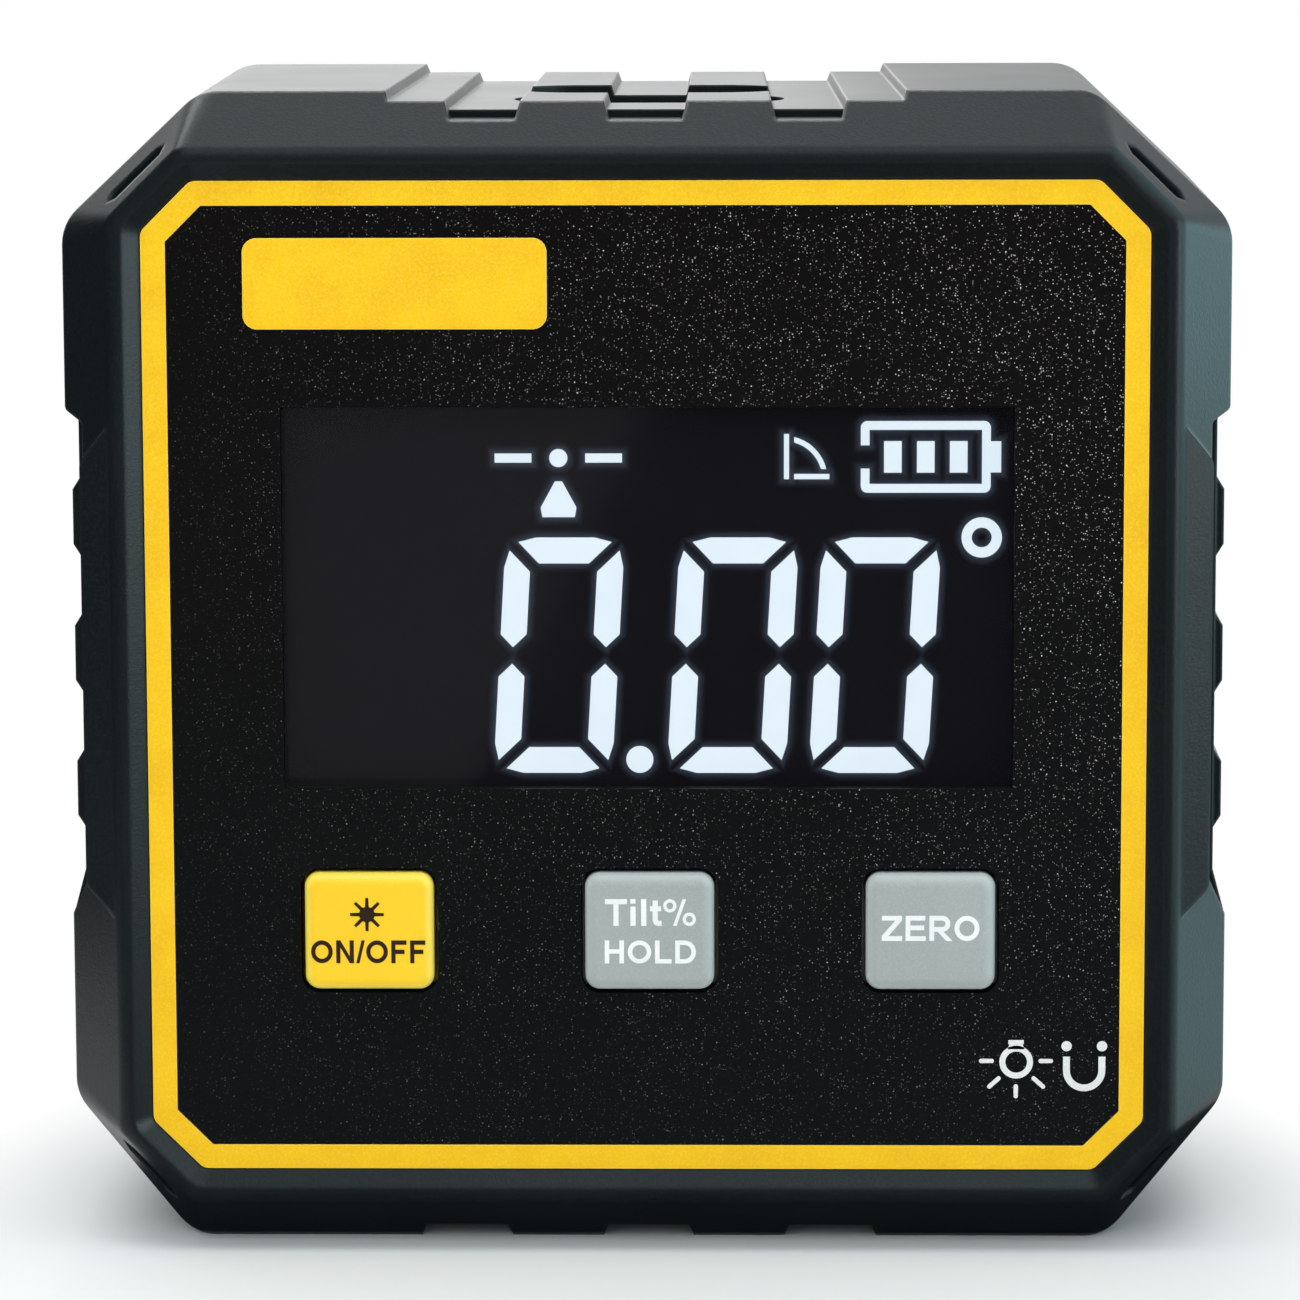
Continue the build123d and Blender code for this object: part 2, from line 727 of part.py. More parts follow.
# Keys, each over its own switch
key_lip_size = (key_width + 2 * key_lip, key_height + 2 * key_lip)
key_parts = []
for name, place in zip(("power", "hold", "zero"), key_points):
    with BuildPart() as key:
        with BuildSketch(facing(y_key_lip)):
            with Locations(place):
                RectangleRounded(key_width, key_height, key_radius)
        extrude(amount=y_key_lip - y_face + key_proud)
        with BuildSketch(facing(y_key_lip + key_lip_thickness)):
            with Locations(place):
                Rectangle(*key_lip_size)
        extrude(amount=key_lip_thickness)
        with BuildSketch(facing(y_plunger)):
            with Locations(place):
                Rectangle(key_stem, key_stem)
        extrude(amount=y_plunger - y_key_lip - key_lip_thickness)
    key.part.label = name + "_key"

    with BuildPart() as plunger:
        with BuildSketch(facing(y_switch + plunger_inside)):
            with Locations(place):
                Rectangle(plunger_size, plunger_size)
        extrude(amount=plunger_inside + plunger_proud)
    plunger.part.label = name + "_plunger"

    with BuildPart() as switch:
        with BuildSketch(facing(y_board)):
            with Locations(place):
                Rectangle(switch_size, switch_size)
        extrude(amount=switch_height)
        with BuildSketch(facing(y_switch + switch_bore)):
            with Locations(place):
                Rectangle(plunger_size + 2 * plunger_gap, plunger_size + 2 * plunger_gap)
        extrude(amount=switch_bore, mode=Mode.SUBTRACT)
    switch.part.label = name + "_switch"
    key_parts += [key.part, plunger.part, switch.part]

# Main board with its parts
board_inset = wall + fit_gap + tongue_wall + board_margin
holder_z = holder_top - holder_height / 2
hook_points = [(-holder_hook_x, holder_z), (holder_hook_x, holder_z)]
with BuildPart() as main_board:
    with BuildSketch(facing(y_board_back)):
        add(body_outline(board_inset, 0))
        with Locations(*boss_points):
            notch = boss_size + 2 * board_margin
            Rectangle(notch, notch, mode=Mode.SUBTRACT)
        with Locations(*post_points):
            Rectangle(peg_size + 2 * peg_gap, peg_size + 2 * peg_gap, mode=Mode.SUBTRACT)
        with Locations(*hook_points):
            Rectangle(holder_hook + 2 * peg_gap + holder_hook_lip, holder_hook_height + 2 * peg_gap,
                      mode=Mode.SUBTRACT)
    extrude(amount=board_thickness)
main_board.part.label = "main_board"


def surface_part(x, z, size_x, size_z, thickness):
    # something soldered to the back of the main board
    with BuildPart() as item:
        with BuildSketch(facing(y_board_back + thickness)):
            with Locations((x, z)):
                Rectangle(size_x, size_z)
        extrude(amount=thickness)
    return item.part


controller_chip = surface_part(chip_x, chip_z, chip_size, chip_size, chip_thickness)
controller_chip.label = "controller_chip"
tilt_sensor = surface_part(sensor_x, sensor_z, sensor_size, sensor_size, chip_thickness)
tilt_sensor.label = "tilt_sensor"
power_socket_z = shelf_z + charge_board_thickness + socket_height / 2
power_socket = surface_part(power_socket_x, power_socket_z, socket_width, socket_height, socket_depth)
power_socket.label = "power_socket"
laser_socket = surface_part(0, laser_socket_z, socket_width, socket_height, laser_socket_depth)
laser_socket.label = "laser_socket"


# Four long screws from the back
head_seat = back - screw_sink - screw_head_height
with BuildPart() as housing_screws:
    with BuildSketch(facing(y_boss - screw_bite)):
        with Locations(*boss_points):
            Circle(screw_radius)
    extrude(amount=y_boss - screw_bite - head_seat)
    with BuildSketch(facing(back - screw_sink)):
        with Locations(*boss_points):
            Circle(screw_head_radius)
    extrude(amount=screw_head_height)
    with BuildSketch(facing(back - screw_sink)):
        with Locations(*boss_points):
            Rectangle(2 * screw_head_radius * recess_length, recess_width)
            Rectangle(recess_width, 2 * screw_head_radius * recess_length)
    extrude(amount=recess_depth, mode=Mode.SUBTRACT)
housing_screws.part.label = "housing_screws"

# Laser module behind the slot, from the window down
with BuildPart() as laser_window:
    with BuildSketch(looking_down(slot_floor)):
        with Locations((0, slot_y)):
            SlotOverall(slot_length - 2 * fit_gap, slot_width - 2 * fit_gap)
    extrude(amount=laser_window_thickness)
laser_window.part.label = "laser_window"

barrel_top = slot_bottom - barrel_drop
barrel_bottom = barrel_top - barrel_length
lens_bottom = barrel_top - lens_thickness
with BuildPart() as laser_barrel:
    with BuildSketch(looking_down(barrel_bottom)):
        with Locations((0, slot_y)):
            Circle(barrel_radius)
            Circle(barrel_bore, mode=Mode.SUBTRACT)
    extrude(amount=barrel_length)
laser_barrel.part.label = "laser_barrel"

with BuildPart() as line_lens:
    with BuildSketch(looking_down(lens_bottom)):
        with Locations((0, slot_y)):
            Circle(barrel_bore - fit_gap)
    extrude(amount=lens_thickness)
line_lens.part.label = "line_lens"

with BuildPart() as laser_diode:
    with BuildSketch(looking_down(barrel_bottom)):
        with Locations((0, slot_y)):
            Circle(barrel_bore - fit_gap)
    extrude(amount=diode_length)
laser_diode.part.label = "laser_diode"

hook_reach = board_thickness + holder_hook_lip
with BuildPart() as laser_holder:
    with BuildSketch(looking_down(mid + holder_top - holder_height)):
        holder_back = slot_y + barrel_radius + fit_gap + holder_back_wall
        with Locations((0, y_board_back)):
            Rectangle(holder_width, holder_back - y_board_back, align=(Align.CENTER, Align.MIN))
        with Locations((0, slot_y)):
            Circle(barrel_radius + fit_gap, mode=Mode.SUBTRACT)
    extrude(amount=holder_height)
    # hooked legs through the board
    with BuildSketch(looking_down(mid + holder_z - holder_hook_height / 2)):
        for side_x in (-1, 1):
            edge = holder_hook_x + holder_hook / 2
            Polygon(*[(side_x * x, y_board_back - y) for x, y in (
                (edge - holder_hook, 0), (edge - holder_hook, hook_reach + fit_gap),
                (edge, hook_reach + fit_gap), (edge + holder_hook_lip, board_thickness + fit_gap),
                (edge, board_thickness + fit_gap), (edge, 0))], align=None)
    extrude(amount=holder_hook_height)
laser_holder.part.label = "laser_holder"

# Battery on the back wall, charging board on its shelf
with BuildPart() as battery:
    with BuildSketch(facing(y_tub_floor)):
        with Locations((0, battery_z)):
            Rectangle(battery_width, battery_height)
    extrude(amount=battery_thickness)
battery.part.label = "battery"

board_level = mid + shelf_z
with BuildPart() as charge_board:
    with BuildSketch(looking_down(board_level)):
        with Locations((0, y_tub_floor)):
            Rectangle(charge_board_width, charge_board_depth, align=(Align.CENTER, Align.MAX))
    extrude(amount=charge_board_thickness)
charge_board.part.label = "charge_board"

with BuildPart() as usb_port:
    with BuildSketch(facing(back - port_sink)):
        with Locations((0, port_z)):
            SlotOverall(port_width, port_height)
    extrude(amount=port_length)
    with BuildSketch(facing(back - port_sink)):
        with Locations((0, port_z)):
            SlotOverall(port_width - 2 * port_wall, port_height - 2 * port_wall)
            Rectangle(port_width - port_height, port_tongue, mode=Mode.SUBTRACT)
    extrude(amount=port_length - port_height / 2, mode=Mode.SUBTRACT)
usb_port.part.label = "usb_port"

socket_top = board_level + charge_board_thickness + socket_height
socket_y = y_tub_floor - battery_thickness / 2
with BuildPart() as battery_socket:
    with BuildSketch(looking_down(board_level + charge_board_thickness)):
        with Locations((battery_socket_x, socket_y)):
            Rectangle(socket_width, socket_depth)
    extrude(amount=socket_height)
battery_socket.part.label = "battery_socket"

with BuildPart() as battery_lead:
    with BuildSketch(looking_down(socket_top)):
        with Locations((battery_socket_x, socket_y)):
            Rectangle(lead_width, lead_thickness)
    extrude(amount=mid + battery_z - battery_height / 2 - socket_top)
battery_lead.part.label = "battery_lead"

# Lead from the charging board forward to the main board
with BuildPart() as board_lead:
    with BuildSketch(facing(y_tub_floor - charge_board_depth)):
        with Locations((power_socket_x, power_socket_z)):
            Rectangle(lead_width, lead_thickness)
    extrude(amount=y_tub_floor - charge_board_depth - y_board_back - socket_depth)
board_lead.part.label = "board_lead"

# Lead from the foot of the barrel down into its socket
socket_lip = mid + laser_socket_z + socket_height / 2
with BuildPart() as laser_lead:
    with BuildSketch(looking_down(socket_lip)):
        with Locations((0, slot_y)):
            Rectangle(lead_width, lead_thickness)
    extrude(amount=barrel_bottom - socket_lip)
laser_lead.part.label = "laser_lead"

# Magnets in the base
base_magnets = []
for number, place in enumerate(magnet_points, 1):
    with BuildPart() as magnet:
        with BuildSketch(looking_down(magnet_sink)):
            with Locations(place):
                Circle(magnet_radius)
        extrude(amount=magnet_thickness)
    magnet.part.label = f"base_magnet_{number}"
    base_magnets.append(magnet.part)

os.makedirs("parts", exist_ok=True)
finished = [
    front_bezel.part, rear_housing.part, trim_ring.part, face_panel.part, badge.part,
    display_window.part, display_segments.part, lcd_cell.part, light_guide.part, lcd_tray.part,
    main_board.part, controller_chip, tilt_sensor, power_socket, laser_socket,
    housing_screws.part, laser_window.part, laser_barrel.part, line_lens.part, laser_diode.part,
    laser_holder.part, battery.part, charge_board.part, usb_port.part, battery_socket.part,
    battery_lead.part, board_lead.part, laser_lead.part,
]
for piece in finished + key_parts + base_magnets:
    export_step(piece, f"parts/{piece.label}.step")
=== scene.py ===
import math

import bmesh
import bpy
from mathutils import Matrix, Vector


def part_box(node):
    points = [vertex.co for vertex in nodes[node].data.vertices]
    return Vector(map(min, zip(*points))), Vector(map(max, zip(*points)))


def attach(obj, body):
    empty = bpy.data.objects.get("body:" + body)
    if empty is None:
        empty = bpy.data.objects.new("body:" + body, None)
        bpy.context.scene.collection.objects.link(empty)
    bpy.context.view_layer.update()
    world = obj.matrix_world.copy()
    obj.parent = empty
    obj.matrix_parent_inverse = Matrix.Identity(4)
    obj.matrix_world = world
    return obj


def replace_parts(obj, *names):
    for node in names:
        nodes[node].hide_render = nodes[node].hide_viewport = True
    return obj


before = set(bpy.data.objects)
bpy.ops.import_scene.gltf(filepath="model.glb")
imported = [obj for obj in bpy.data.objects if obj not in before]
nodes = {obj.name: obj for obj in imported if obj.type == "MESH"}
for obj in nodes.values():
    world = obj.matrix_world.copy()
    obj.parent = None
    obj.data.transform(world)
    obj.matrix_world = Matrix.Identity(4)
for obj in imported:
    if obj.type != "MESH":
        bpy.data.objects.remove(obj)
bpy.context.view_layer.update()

mm = 0.001
middle = 31 * mm          # height of the middle of the face
weld = 0.001 * mm         # closer than this counts as the same place
scene = bpy.context.scene


# Shader helpers

class Wire:               # one socket, so that shader maths reads as maths
    def __init__(self, paint, socket):
        self.paint = paint
        self.socket = socket

    def maths(self, operation, first, second=0.0):
        return self.paint.add("ShaderNodeMath", {"operation": operation}, {0: first, 1: second})

    def __add__(self, other):
        return self.maths("ADD", self, other)

    def __radd__(self, other):
        return self.maths("ADD", other, self)

    def __sub__(self, other):
        return self.maths("SUBTRACT", self, other)

    def __rsub__(self, other):
        return self.maths("SUBTRACT", other, self)

    def __mul__(self, other):
        return self.maths("MULTIPLY", self, other)

    def __rmul__(self, other):
        return self.maths("MULTIPLY", other, self)

    def __truediv__(self, other):
        return self.maths("DIVIDE", self, other)

    def __pow__(self, other):
        return self.maths("POWER", self, other)

    def __gt__(self, other):
        return self.maths("GREATER_THAN", self, other)

    def __abs__(self):
        return self.maths("ABSOLUTE", self)

    def clamped(self):
        return self.paint.add("ShaderNodeClamp", {}, {0: self})

    def ramp(self, low, high):      # 0 below low, 1 above high, smooth between
        return self.paint.add("ShaderNodeMapRange", {"interpolation_type": "SMOOTHSTEP"},
                              {0: self, 1: low, 2: high})


class Paint:              # one material in the making
    def __init__(self, name):
        self.material = bpy.data.materials.new(name)
        self.material.use_nodes = True
        self.tree = self.material.node_tree
        self.shader = self.tree.nodes["Principled BSDF"]
        self.output = self.tree.nodes["Material Output"].inputs["Surface"]
        self.place = self.add("ShaderNodeTexCoord", out="Object")

    def add(self, kind, settings=None, sockets=None, out=0):
        node = self.tree.nodes.new(kind)
        for key, value in (settings or {}).items():
            setattr(node, key, value)
        for key, value in (sockets or {}).items():
            self.plug(node.inputs[key], value)
        return Wire(self, node.outputs[out])

    def plug(self, socket, value):
        if isinstance(value, Wire):
            self.tree.links.new(value.socket, socket)
        elif hasattr(socket.default_value, "__len__") and len(value) < len(socket.default_value):
            socket.default_value = (*value, 1)
        else:
            socket.default_value = value

    def set(self, **values):        # baseColor=..., roughness=... on the shader's own sockets
        for key, value in values.items():
            words = "".join(" " + c if c.isupper() else c for c in key).title()
            self.plug(self.shader.inputs[words.replace("Ior", "IOR")], value)
        return self.material

    def mix(self, factor, first, second):
        return self.add("ShaderNodeMix", {"data_type": "RGBA"}, {0: factor, 6: first, 7: second},
                        out=2)

    def noise(self, size, detail=2, roughness=0.5):
        return self.add("ShaderNodeTexNoise", {}, {"Vector": self.place, "Scale": 1 / size,
                                                   "Detail": detail, "Roughness": roughness})

    def axis(self, letter, vector=None):
        return self.add("ShaderNodeSeparateXYZ", {}, {0: vector or self.place}, out=letter)

    def ray(self, kind):            # 1 for camera, glossy or transmission rays
        return self.add("ShaderNodeLightPath", out=f"Is {kind} Ray")

    def bump(self, height, depth, strength, normal=None):
        sockets = {"Height": height, "Distance": depth, "Strength": strength}
        if normal:
            sockets["Normal"] = normal
        return self.add("ShaderNodeBump", {}, sockets)


# What a surface has unless its own look says otherwise
plainLook = {"cloudSize": 6 * mm, "clouds": (0.35, 0.7), "grains": (0.4, 0.75), "grainTone": 0.3,
             "grainDepth": 0.01 * mm, "grainStrength": 0.3, "edgeRadius": 0.2 * mm, "edgeSpread": 6,
             "paintedEdgeLightShare": 0.4, "edgePolish": 0.06, "roughnessRange": 0.1, "metallic": 0.0,
             "specular": 0.5, "coat": 0.0, "coatRoughness": 0.1}


# A moulded, cast or drawn surface: soft clouds of two tones, fine grain, rounded edges that catch
# light, with a painted highlight along them
def surface(name, own):
    look = {**plainLook, **own}
    paint = Paint(name)
    cloud = paint.noise(look["cloudSize"], detail=3)
    grain = paint.noise(look["grainSize"], roughness=0.6)
    rounded = paint.add("ShaderNodeBevel", {"samples": 6}, {"Radius": look["edgeRadius"]})
    flat = paint.add("ShaderNodeNewGeometry", out="Normal")
    facing = paint.add("ShaderNodeVectorMath", {"operation": "DOT_PRODUCT"}, {0: rounded, 1: flat},
                       out=1)
    edge = ((1 - facing) * look["edgeSpread"]).clamped()
    tone = paint.mix(cloud.ramp(*look["clouds"]), look["colour"], look["shade"])
    tone = paint.mix(grain.ramp(*look["grains"]) * look["grainTone"], tone, look["edge"])
    # Painted highlight along the edges: the edge colour mixed in where the Bevel normal turns from
    # the face
    tone = paint.mix(edge * look["paintedEdgeLightShare"], tone, look["edge"])
    if "rim" in look:     # painted highlight: rolled edges of the caps lighter than their fronts
        outward = paint.axis("Y", paint.add("ShaderNodeTexCoord", out="Normal"))
        rolledHighlight = (1 + outward).ramp(0.0, look["rimHighlightSpread"])
        tone = paint.mix(rolledHighlight * look["rimHighlightTone"], tone, look["rim"])
    rough = look["roughness"] + (cloud - 0.5) * look["roughnessRange"] - edge * look["edgePolish"]
    normal = paint.bump(grain, look["grainDepth"], look["grainStrength"], rounded)
    return paint.set(baseColor=tone, roughness=rough, normal=normal, metallic=look["metallic"],
                     specularIorLevel=look["specular"], coatWeight=look["coat"],
                     coatRoughness=look["coatRoughness"])


def dress(material, *names):
    for name in names:
        nodes[name].data.materials.clear()
        nodes[name].data.materials.append(material)


# Camera, placed first
shot = {"target": (-0.096 * mm, 0, 30.297 * mm), "distance": 334.6 * mm, "azimuth": 1.141,
        "elevation": 8.671, "roll": -0.171, "lens": 166.9, "sensor": 36, "nearest": 10 * mm}


def placeCamera():
    az, el = math.radians(shot["azimuth"]), math.radians(shot["elevation"])
    back = Vector((math.sin(az) * math.cos(el), -math.cos(az) * math.cos(el), math.sin(el)))
    camera = bpy.data.objects.new("camera", bpy.data.cameras.new("camera"))
    scene.collection.objects.link(camera)
    camera.data.lens = shot["lens"]
    camera.data.sensor_width = shot["sensor"]
    camera.data.clip_start = shot["nearest"]
    move = Matrix.Translation(Vector(shot["target"]) + back * shot["distance"])
    turn = back.to_track_quat("Z", "Y").to_matrix().to_4x4()
    camera.matrix_world = move @ turn @ Matrix.Rotation(math.radians(shot["roll"]), 4, "Z")
    scene.camera = camera


placeCamera()
scene.view_settings.view_transform = "Standard"
print("camera placed")

# Finishes of the CAD nodes
# Each look's edge colour tints the grain flecks and paints a highlight along the edges
housingLook = {"colour": (0.0062, 0.0094, 0.0106), "shade": (0.0050, 0.0076, 0.0088),
               "edge": (0.045, 0.060, 0.066), "roughness": 0.34, "roughnessRange": 0.08,
               "grainSize": 0.16 * mm, "grainDepth": 0.012 * mm, "grainStrength": 0.45,
               "grainTone": 0.10, "paintedEdgeLightShare": 0.5, "cloudSize": 9 * mm, "specular": 0.26}
bezelLook = {**housingLook, "edgeRadius": 0.34 * mm, "paintedEdgeLightShare": 0.2, "grainStrength": 0.9}
yellowLook = {"colour": (0.86, 0.520, 0.006), "shade": (0.82, 0.465, 0.005),
              "edge": (1.0, 0.78, 0.16), "roughness": 0.42, "grainSize": 0.12 * mm,
              "grainDepth": 0.004 * mm, "grainTone": 0.16, "paintedEdgeLightShare": 0.9,
              "edgeRadius": 0.09 * mm, "cloudSize": 3 * mm, "specular": 0.15}
innerLook = {"colour": (0.030, 0.032, 0.034), "shade": (0.022, 0.024, 0.026),
             "edge": (0.07, 0.07, 0.07), "roughness": 0.55, "grainSize": 0.3 * mm}
boardLook = {"colour": (0.010, 0.085, 0.035), "shade": (0.007, 0.060, 0.026),
             "edge": (0.25, 0.22, 0.12), "roughness": 0.35, "grainSize": 0.5 * mm, "coat": 0.4}
chipLook = {"colour": (0.018, 0.018, 0.019), "shade": (0.013, 0.013, 0.014),
            "edge": (0.05, 0.05, 0.05), "roughness": 0.6, "grainSize": 0.08 * mm}
socketLook = {"colour": (0.62, 0.58, 0.48), "shade": (0.55, 0.51, 0.42), "edge": (0.75, 0.72, 0.62),
              "roughness": 0.5, "grainSize": 0.2 * mm, "grainDepth": 0.006 * mm}
switchLook = {"colour": (0.045, 0.045, 0.048), "shade": (0.03, 0.03, 0.033),
              "edge": (0.12, 0.12, 0.12), "roughness": 0.45, "grainSize": 0.2 * mm,
              "grainDepth": 0.006 * mm}
steelLook = {"colour": (0.56, 0.56, 0.57), "shade": (0.42, 0.42, 0.44), "edge": (0.72, 0.72, 0.74),
             "roughness": 0.3, "metallic": 1.0, "grainSize": 0.15 * mm, "grainDepth": 0.006 * mm}
nickelLook = {"colour": (0.62, 0.61, 0.58), "shade": (0.50, 0.49, 0.47), "edge": (0.75, 0.74, 0.72),
              "roughness": 0.22, "metallic": 1.0, "grainSize": 0.3 * mm, "grainDepth": 0.004 * mm}
brassLook = {"colour": (0.70, 0.50, 0.22), "shade": (0.58, 0.40, 0.17), "edge": (0.85, 0.66, 0.35),
             "roughness": 0.28, "metallic": 1.0, "grainSize": 0.2 * mm, "grainDepth": 0.006 * mm}
foilLook = {"colour": (0.58, 0.59, 0.60), "shade": (0.46, 0.47, 0.49), "edge": (0.7, 0.7, 0.72),
            "roughness": 0.42, "metallic": 0.9, "grainSize": 0.6 * mm, "grainDepth": 0.03 * mm}
leadLook = {"colour": (0.24, 0.018, 0.016), "shade": (0.17, 0.012, 0.011),
            "edge": (0.4, 0.06, 0.05), "roughness": 0.45, "grainSize": 0.3 * mm,
            "grainDepth": 0.008 * mm}
diffuserLook = {"colour": (0.72, 0.76, 0.79), "shade": (0.66, 0.70, 0.74),
                "edge": (0.85, 0.88, 0.9), "roughness": 0.6, "grainSize": 0.25 * mm,
                "grainDepth": 0.005 * mm}
cellLook = {"colour": (0.0062, 0.0056, 0.0078), "shade": (0.0068, 0.0062, 0.0085),
            "edge": (0.012, 0.012, 0.014), "roughness": 0.3, "grainSize": 0.3 * mm,
            "grainDepth": 0.001 * mm, "specular": 0.1}

dress(surface("housingPlastic", housingLook), "rear_housing")
dress(surface("bezelPlastic", bezelLook), "front_bezel")
dress(surface("yellowPlastic", yellowLook), "trim_ring", "badge")
dress(surface("innerPlastic", innerLook), "lcd_tray", "laser_holder", "power_plunger",
      "hold_plunger", "zero_plunger")
dress(surface("circuitBoard", boardLook), "main_board", "charge_board")
dress(surface("chipResin", chipLook), "controller_chip", "tilt_sensor")
dress(surface("socketPlastic", socketLook), "power_socket", "laser_socket", "battery_socket")
dress(surface("switchPlastic", switchLook), "power_switch", "hold_switch", "zero_switch")
dress(surface("steel", steelLook), "housing_screws", "laser_diode", "usb_port")
dress(surface("nickel", nickelLook), "base_magnet_1", "base_magnet_2")
dress(surface("brass", brassLook), "laser_barrel")
dress(surface("batteryFoil", foilLook), "battery")
dress(surface("leadInsulation", leadLook), "battery_lead", "board_lead", "laser_lead")
dress(surface("diffuser", diffuserLook), "light_guide")
dress(surface("cellGlass", cellLook), "lcd_cell")

# Black film of the face, full of tiny bright flakes that crowd towards the upper right.
# A layer of flakes: cell size, share of empty cells, reach in a cell, weight
panelLook = {"colour": (0.0042, 0.0032, 0.0028), "cool": (0.0056, 0.0066, 0.0070), "coolShare": 0.9,
             "haze": (0.012, 0.0115, 0.0115), "hazeShare": 0.1, "hazes": (0.45, 0.8),
             "flake": (0.62, 0.62, 0.61), "warmFlake": (0.50, 0.46, 0.43), "tintSize": 2.5 * mm,
             "tints": (0.45, 0.6), "soft": 0.6, "strength": 3.0,
             "layers": ((0.155 * mm, 0.87, 0.30, 1.0), (0.10 * mm, 0.74, 0.36, 0.6)),
             "wide": 50 * mm, "tall": 62 * mm, "fewest": 0.05,
             "cloudSize": 7 * mm, "clouds": (0.38, 0.66), "cloudShare": 0.24,
             "roughness": 0.42, "flakeRoughness": 0.15, "specular": 0.05,
             "grainSize": 0.12 * mm, "grainDepth": 0.004 * mm, "grainStrength": 0.25}


def panelFilm():
    look = panelLook
    paint = Paint("panelFilm")
    right = (paint.axis("X") / look["wide"] + 0.5).clamped()
    high = (paint.axis("Z") / look["tall"]).clamped()
    cloud = paint.noise(look["cloudSize"], detail=4, roughness=0.6)
    patches = cloud.ramp(*look["clouds"]) * look["cloudShare"] + (1 - look["cloudShare"])
    crowd = (patches * right * high + look["fewest"]).clamped()
    flakes = 0.0
    for size, empty, reach, weight in look["layers"]:
        cells = {"Vector": paint.place, "Scale": 1 / size}
        away = paint.add("ShaderNodeTexVoronoi", {}, cells, out="Distance")
        shade = paint.add("ShaderNodeTexVoronoi", {}, cells, out="Color")
        chance = paint.add("ShaderNodeSeparateColor", {}, {0: shade}, out="Red")
        dots = (reach - away).ramp(0.0, reach * look["soft"])
        flakes = flakes + dots * (chance > empty) * (chance - empty) / (1 - empty) * weight
    flakes = (flakes * crowd * look["strength"]).clamped()
    ground = paint.mix(high * look["coolShare"], look["cool"], look["colour"])
    ground = paint.mix(cloud.ramp(*look["hazes"]) * look["hazeShare"], ground, look["haze"])
    tint = paint.mix(paint.noise(look["tintSize"], detail=1).ramp(*look["tints"]),
                     look["flake"], look["warmFlake"])
    grain = paint.noise(look["grainSize"])
    return paint.set(baseColor=paint.mix(flakes, ground, tint), specularIorLevel=look["specular"],
                     roughness=look["roughness"] + flakes * look["flakeRoughness"],
                     normal=paint.bump(grain, look["grainDepth"], look["grainStrength"]))


# Smoked windows: clear enough for what lies behind, with the faint streaks of a wiped surface
windowLook = {"colour": (0.004, 0.004, 0.006), "alpha": 0.30, "roughness": 0.05, "streaks": 0.04}
laserLook = {"colour": (0.010, 0.006, 0.006), "alpha": 0.75, "roughness": 0.06, "streaks": 0.05}
lensLook = {"colour": (0.75, 0.78, 0.80), "alpha": 0.35, "roughness": 0.03, "streaks": 0.02}
wipeLook = {"size": 5 * mm, "paler": 1.4, "range": (0.4, 0.8)}


def smokedGlass(name, look):
    paint = Paint(name)
    wipe = paint.noise(wipeLook["size"], detail=4, roughness=0.7)
    rearFace = paint.add("ShaderNodeNewGeometry", out="Backfacing")
    pale = [c * wipeLook["paler"] for c in look["colour"]]
    return paint.set(baseColor=paint.mix(wipe, look["colour"], pale),
                     roughness=look["roughness"] + wipe.ramp(*wipeLook["range"]) * look["streaks"],
                     alpha=(1 - rearFace) * look["alpha"])


segmentLook = {"colour": (0.80, 0.92, 1.0), "dim": (0.77, 0.89, 0.98), "strength": 1.74,
               "unlit": 0.2, "hazeSize": 3 * mm, "hazes": (0.3, 0.75), "roughness": 0.6,
               "roughnessRange": 0.1}


def litSegments():
    look = segmentLook
    paint = Paint("litSegments")
    haze = paint.noise(look["hazeSize"], detail=3)
    tone = paint.mix(haze.ramp(*look["hazes"]), look["colour"], look["dim"])
    return paint.set(baseColor=[look["unlit"] * c for c in look["colour"]], emissionColor=tone,
                     emissionStrength=look["strength"],
                     roughness=look["roughness"] + haze * look["roughnessRange"])


dress(panelFilm(), "face_panel")
displayGlass = smokedGlass("displayGlass", windowLook)
dress(displayGlass, "display_window")
dress(smokedGlass("laserGlass", laserLook), "laser_window")
dress(smokedGlass("lensGlass", lensLook), "line_lens")
dress(litSegments(), "display_segments")
print("CAD nodes dressed")


# New pieces

def asData(mesh, name):
    data = bpy.data.meshes.new(name)
    mesh.to_mesh(data)
    mesh.free()
    return data


def finished(mesh, name, material, body, smooth=True):
    data = asData(mesh, name)
    for face in data.polygons:
        face.use_smooth = smooth
    data.materials.append(material)
    piece = bpy.data.objects.new(name, data)
    scene.collection.objects.link(piece)
    if smooth:
        even = piece.modifiers.new("evenNormals", "WEIGHTED_NORMAL")
        even.weight = 90
    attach(piece, body)
    return piece


def outwards(mesh):                 # every closed shell's faces turned to its outside
    bmesh.ops.recalc_face_normals(mesh, faces=mesh.faces)


def towardsViewer(mesh):            # flat faces in the x, z plane turned to the front
    for face in mesh.faces:
        face.normal_update()
        if face.normal.y > 0:
            face.normal_flip()


def copyOf(node):                   # the node's own mesh, in place
    mesh = bmesh.new()
    mesh.from_mesh(nodes[node].data)
    mesh.transform(nodes[node].matrix_world)
    return mesh


def vertsOf(geometry):
    return [part for part in geometry if isinstance(part, bmesh.types.BMVert)]


def edgesOf(geometry):
    return [part for part in geometry if isinstance(part, bmesh.types.BMEdge)]


# Lens of the display, drawn off the lit segments that touch the solid's rear face
lensGap = 0.04 * mm


def displayLens():
    mesh = copyOf("display_window")
    rear = max(v.co.y for v in mesh.verts)
    for v in mesh.verts:
        if v.co.y > rear - lensGap / 2:
            v.co.y -= lensGap
    outwards(mesh)
    lens = finished(mesh, "displayLens", displayGlass, "housing", smooth=False)
    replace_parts(lens, "display_window")


displayLens()

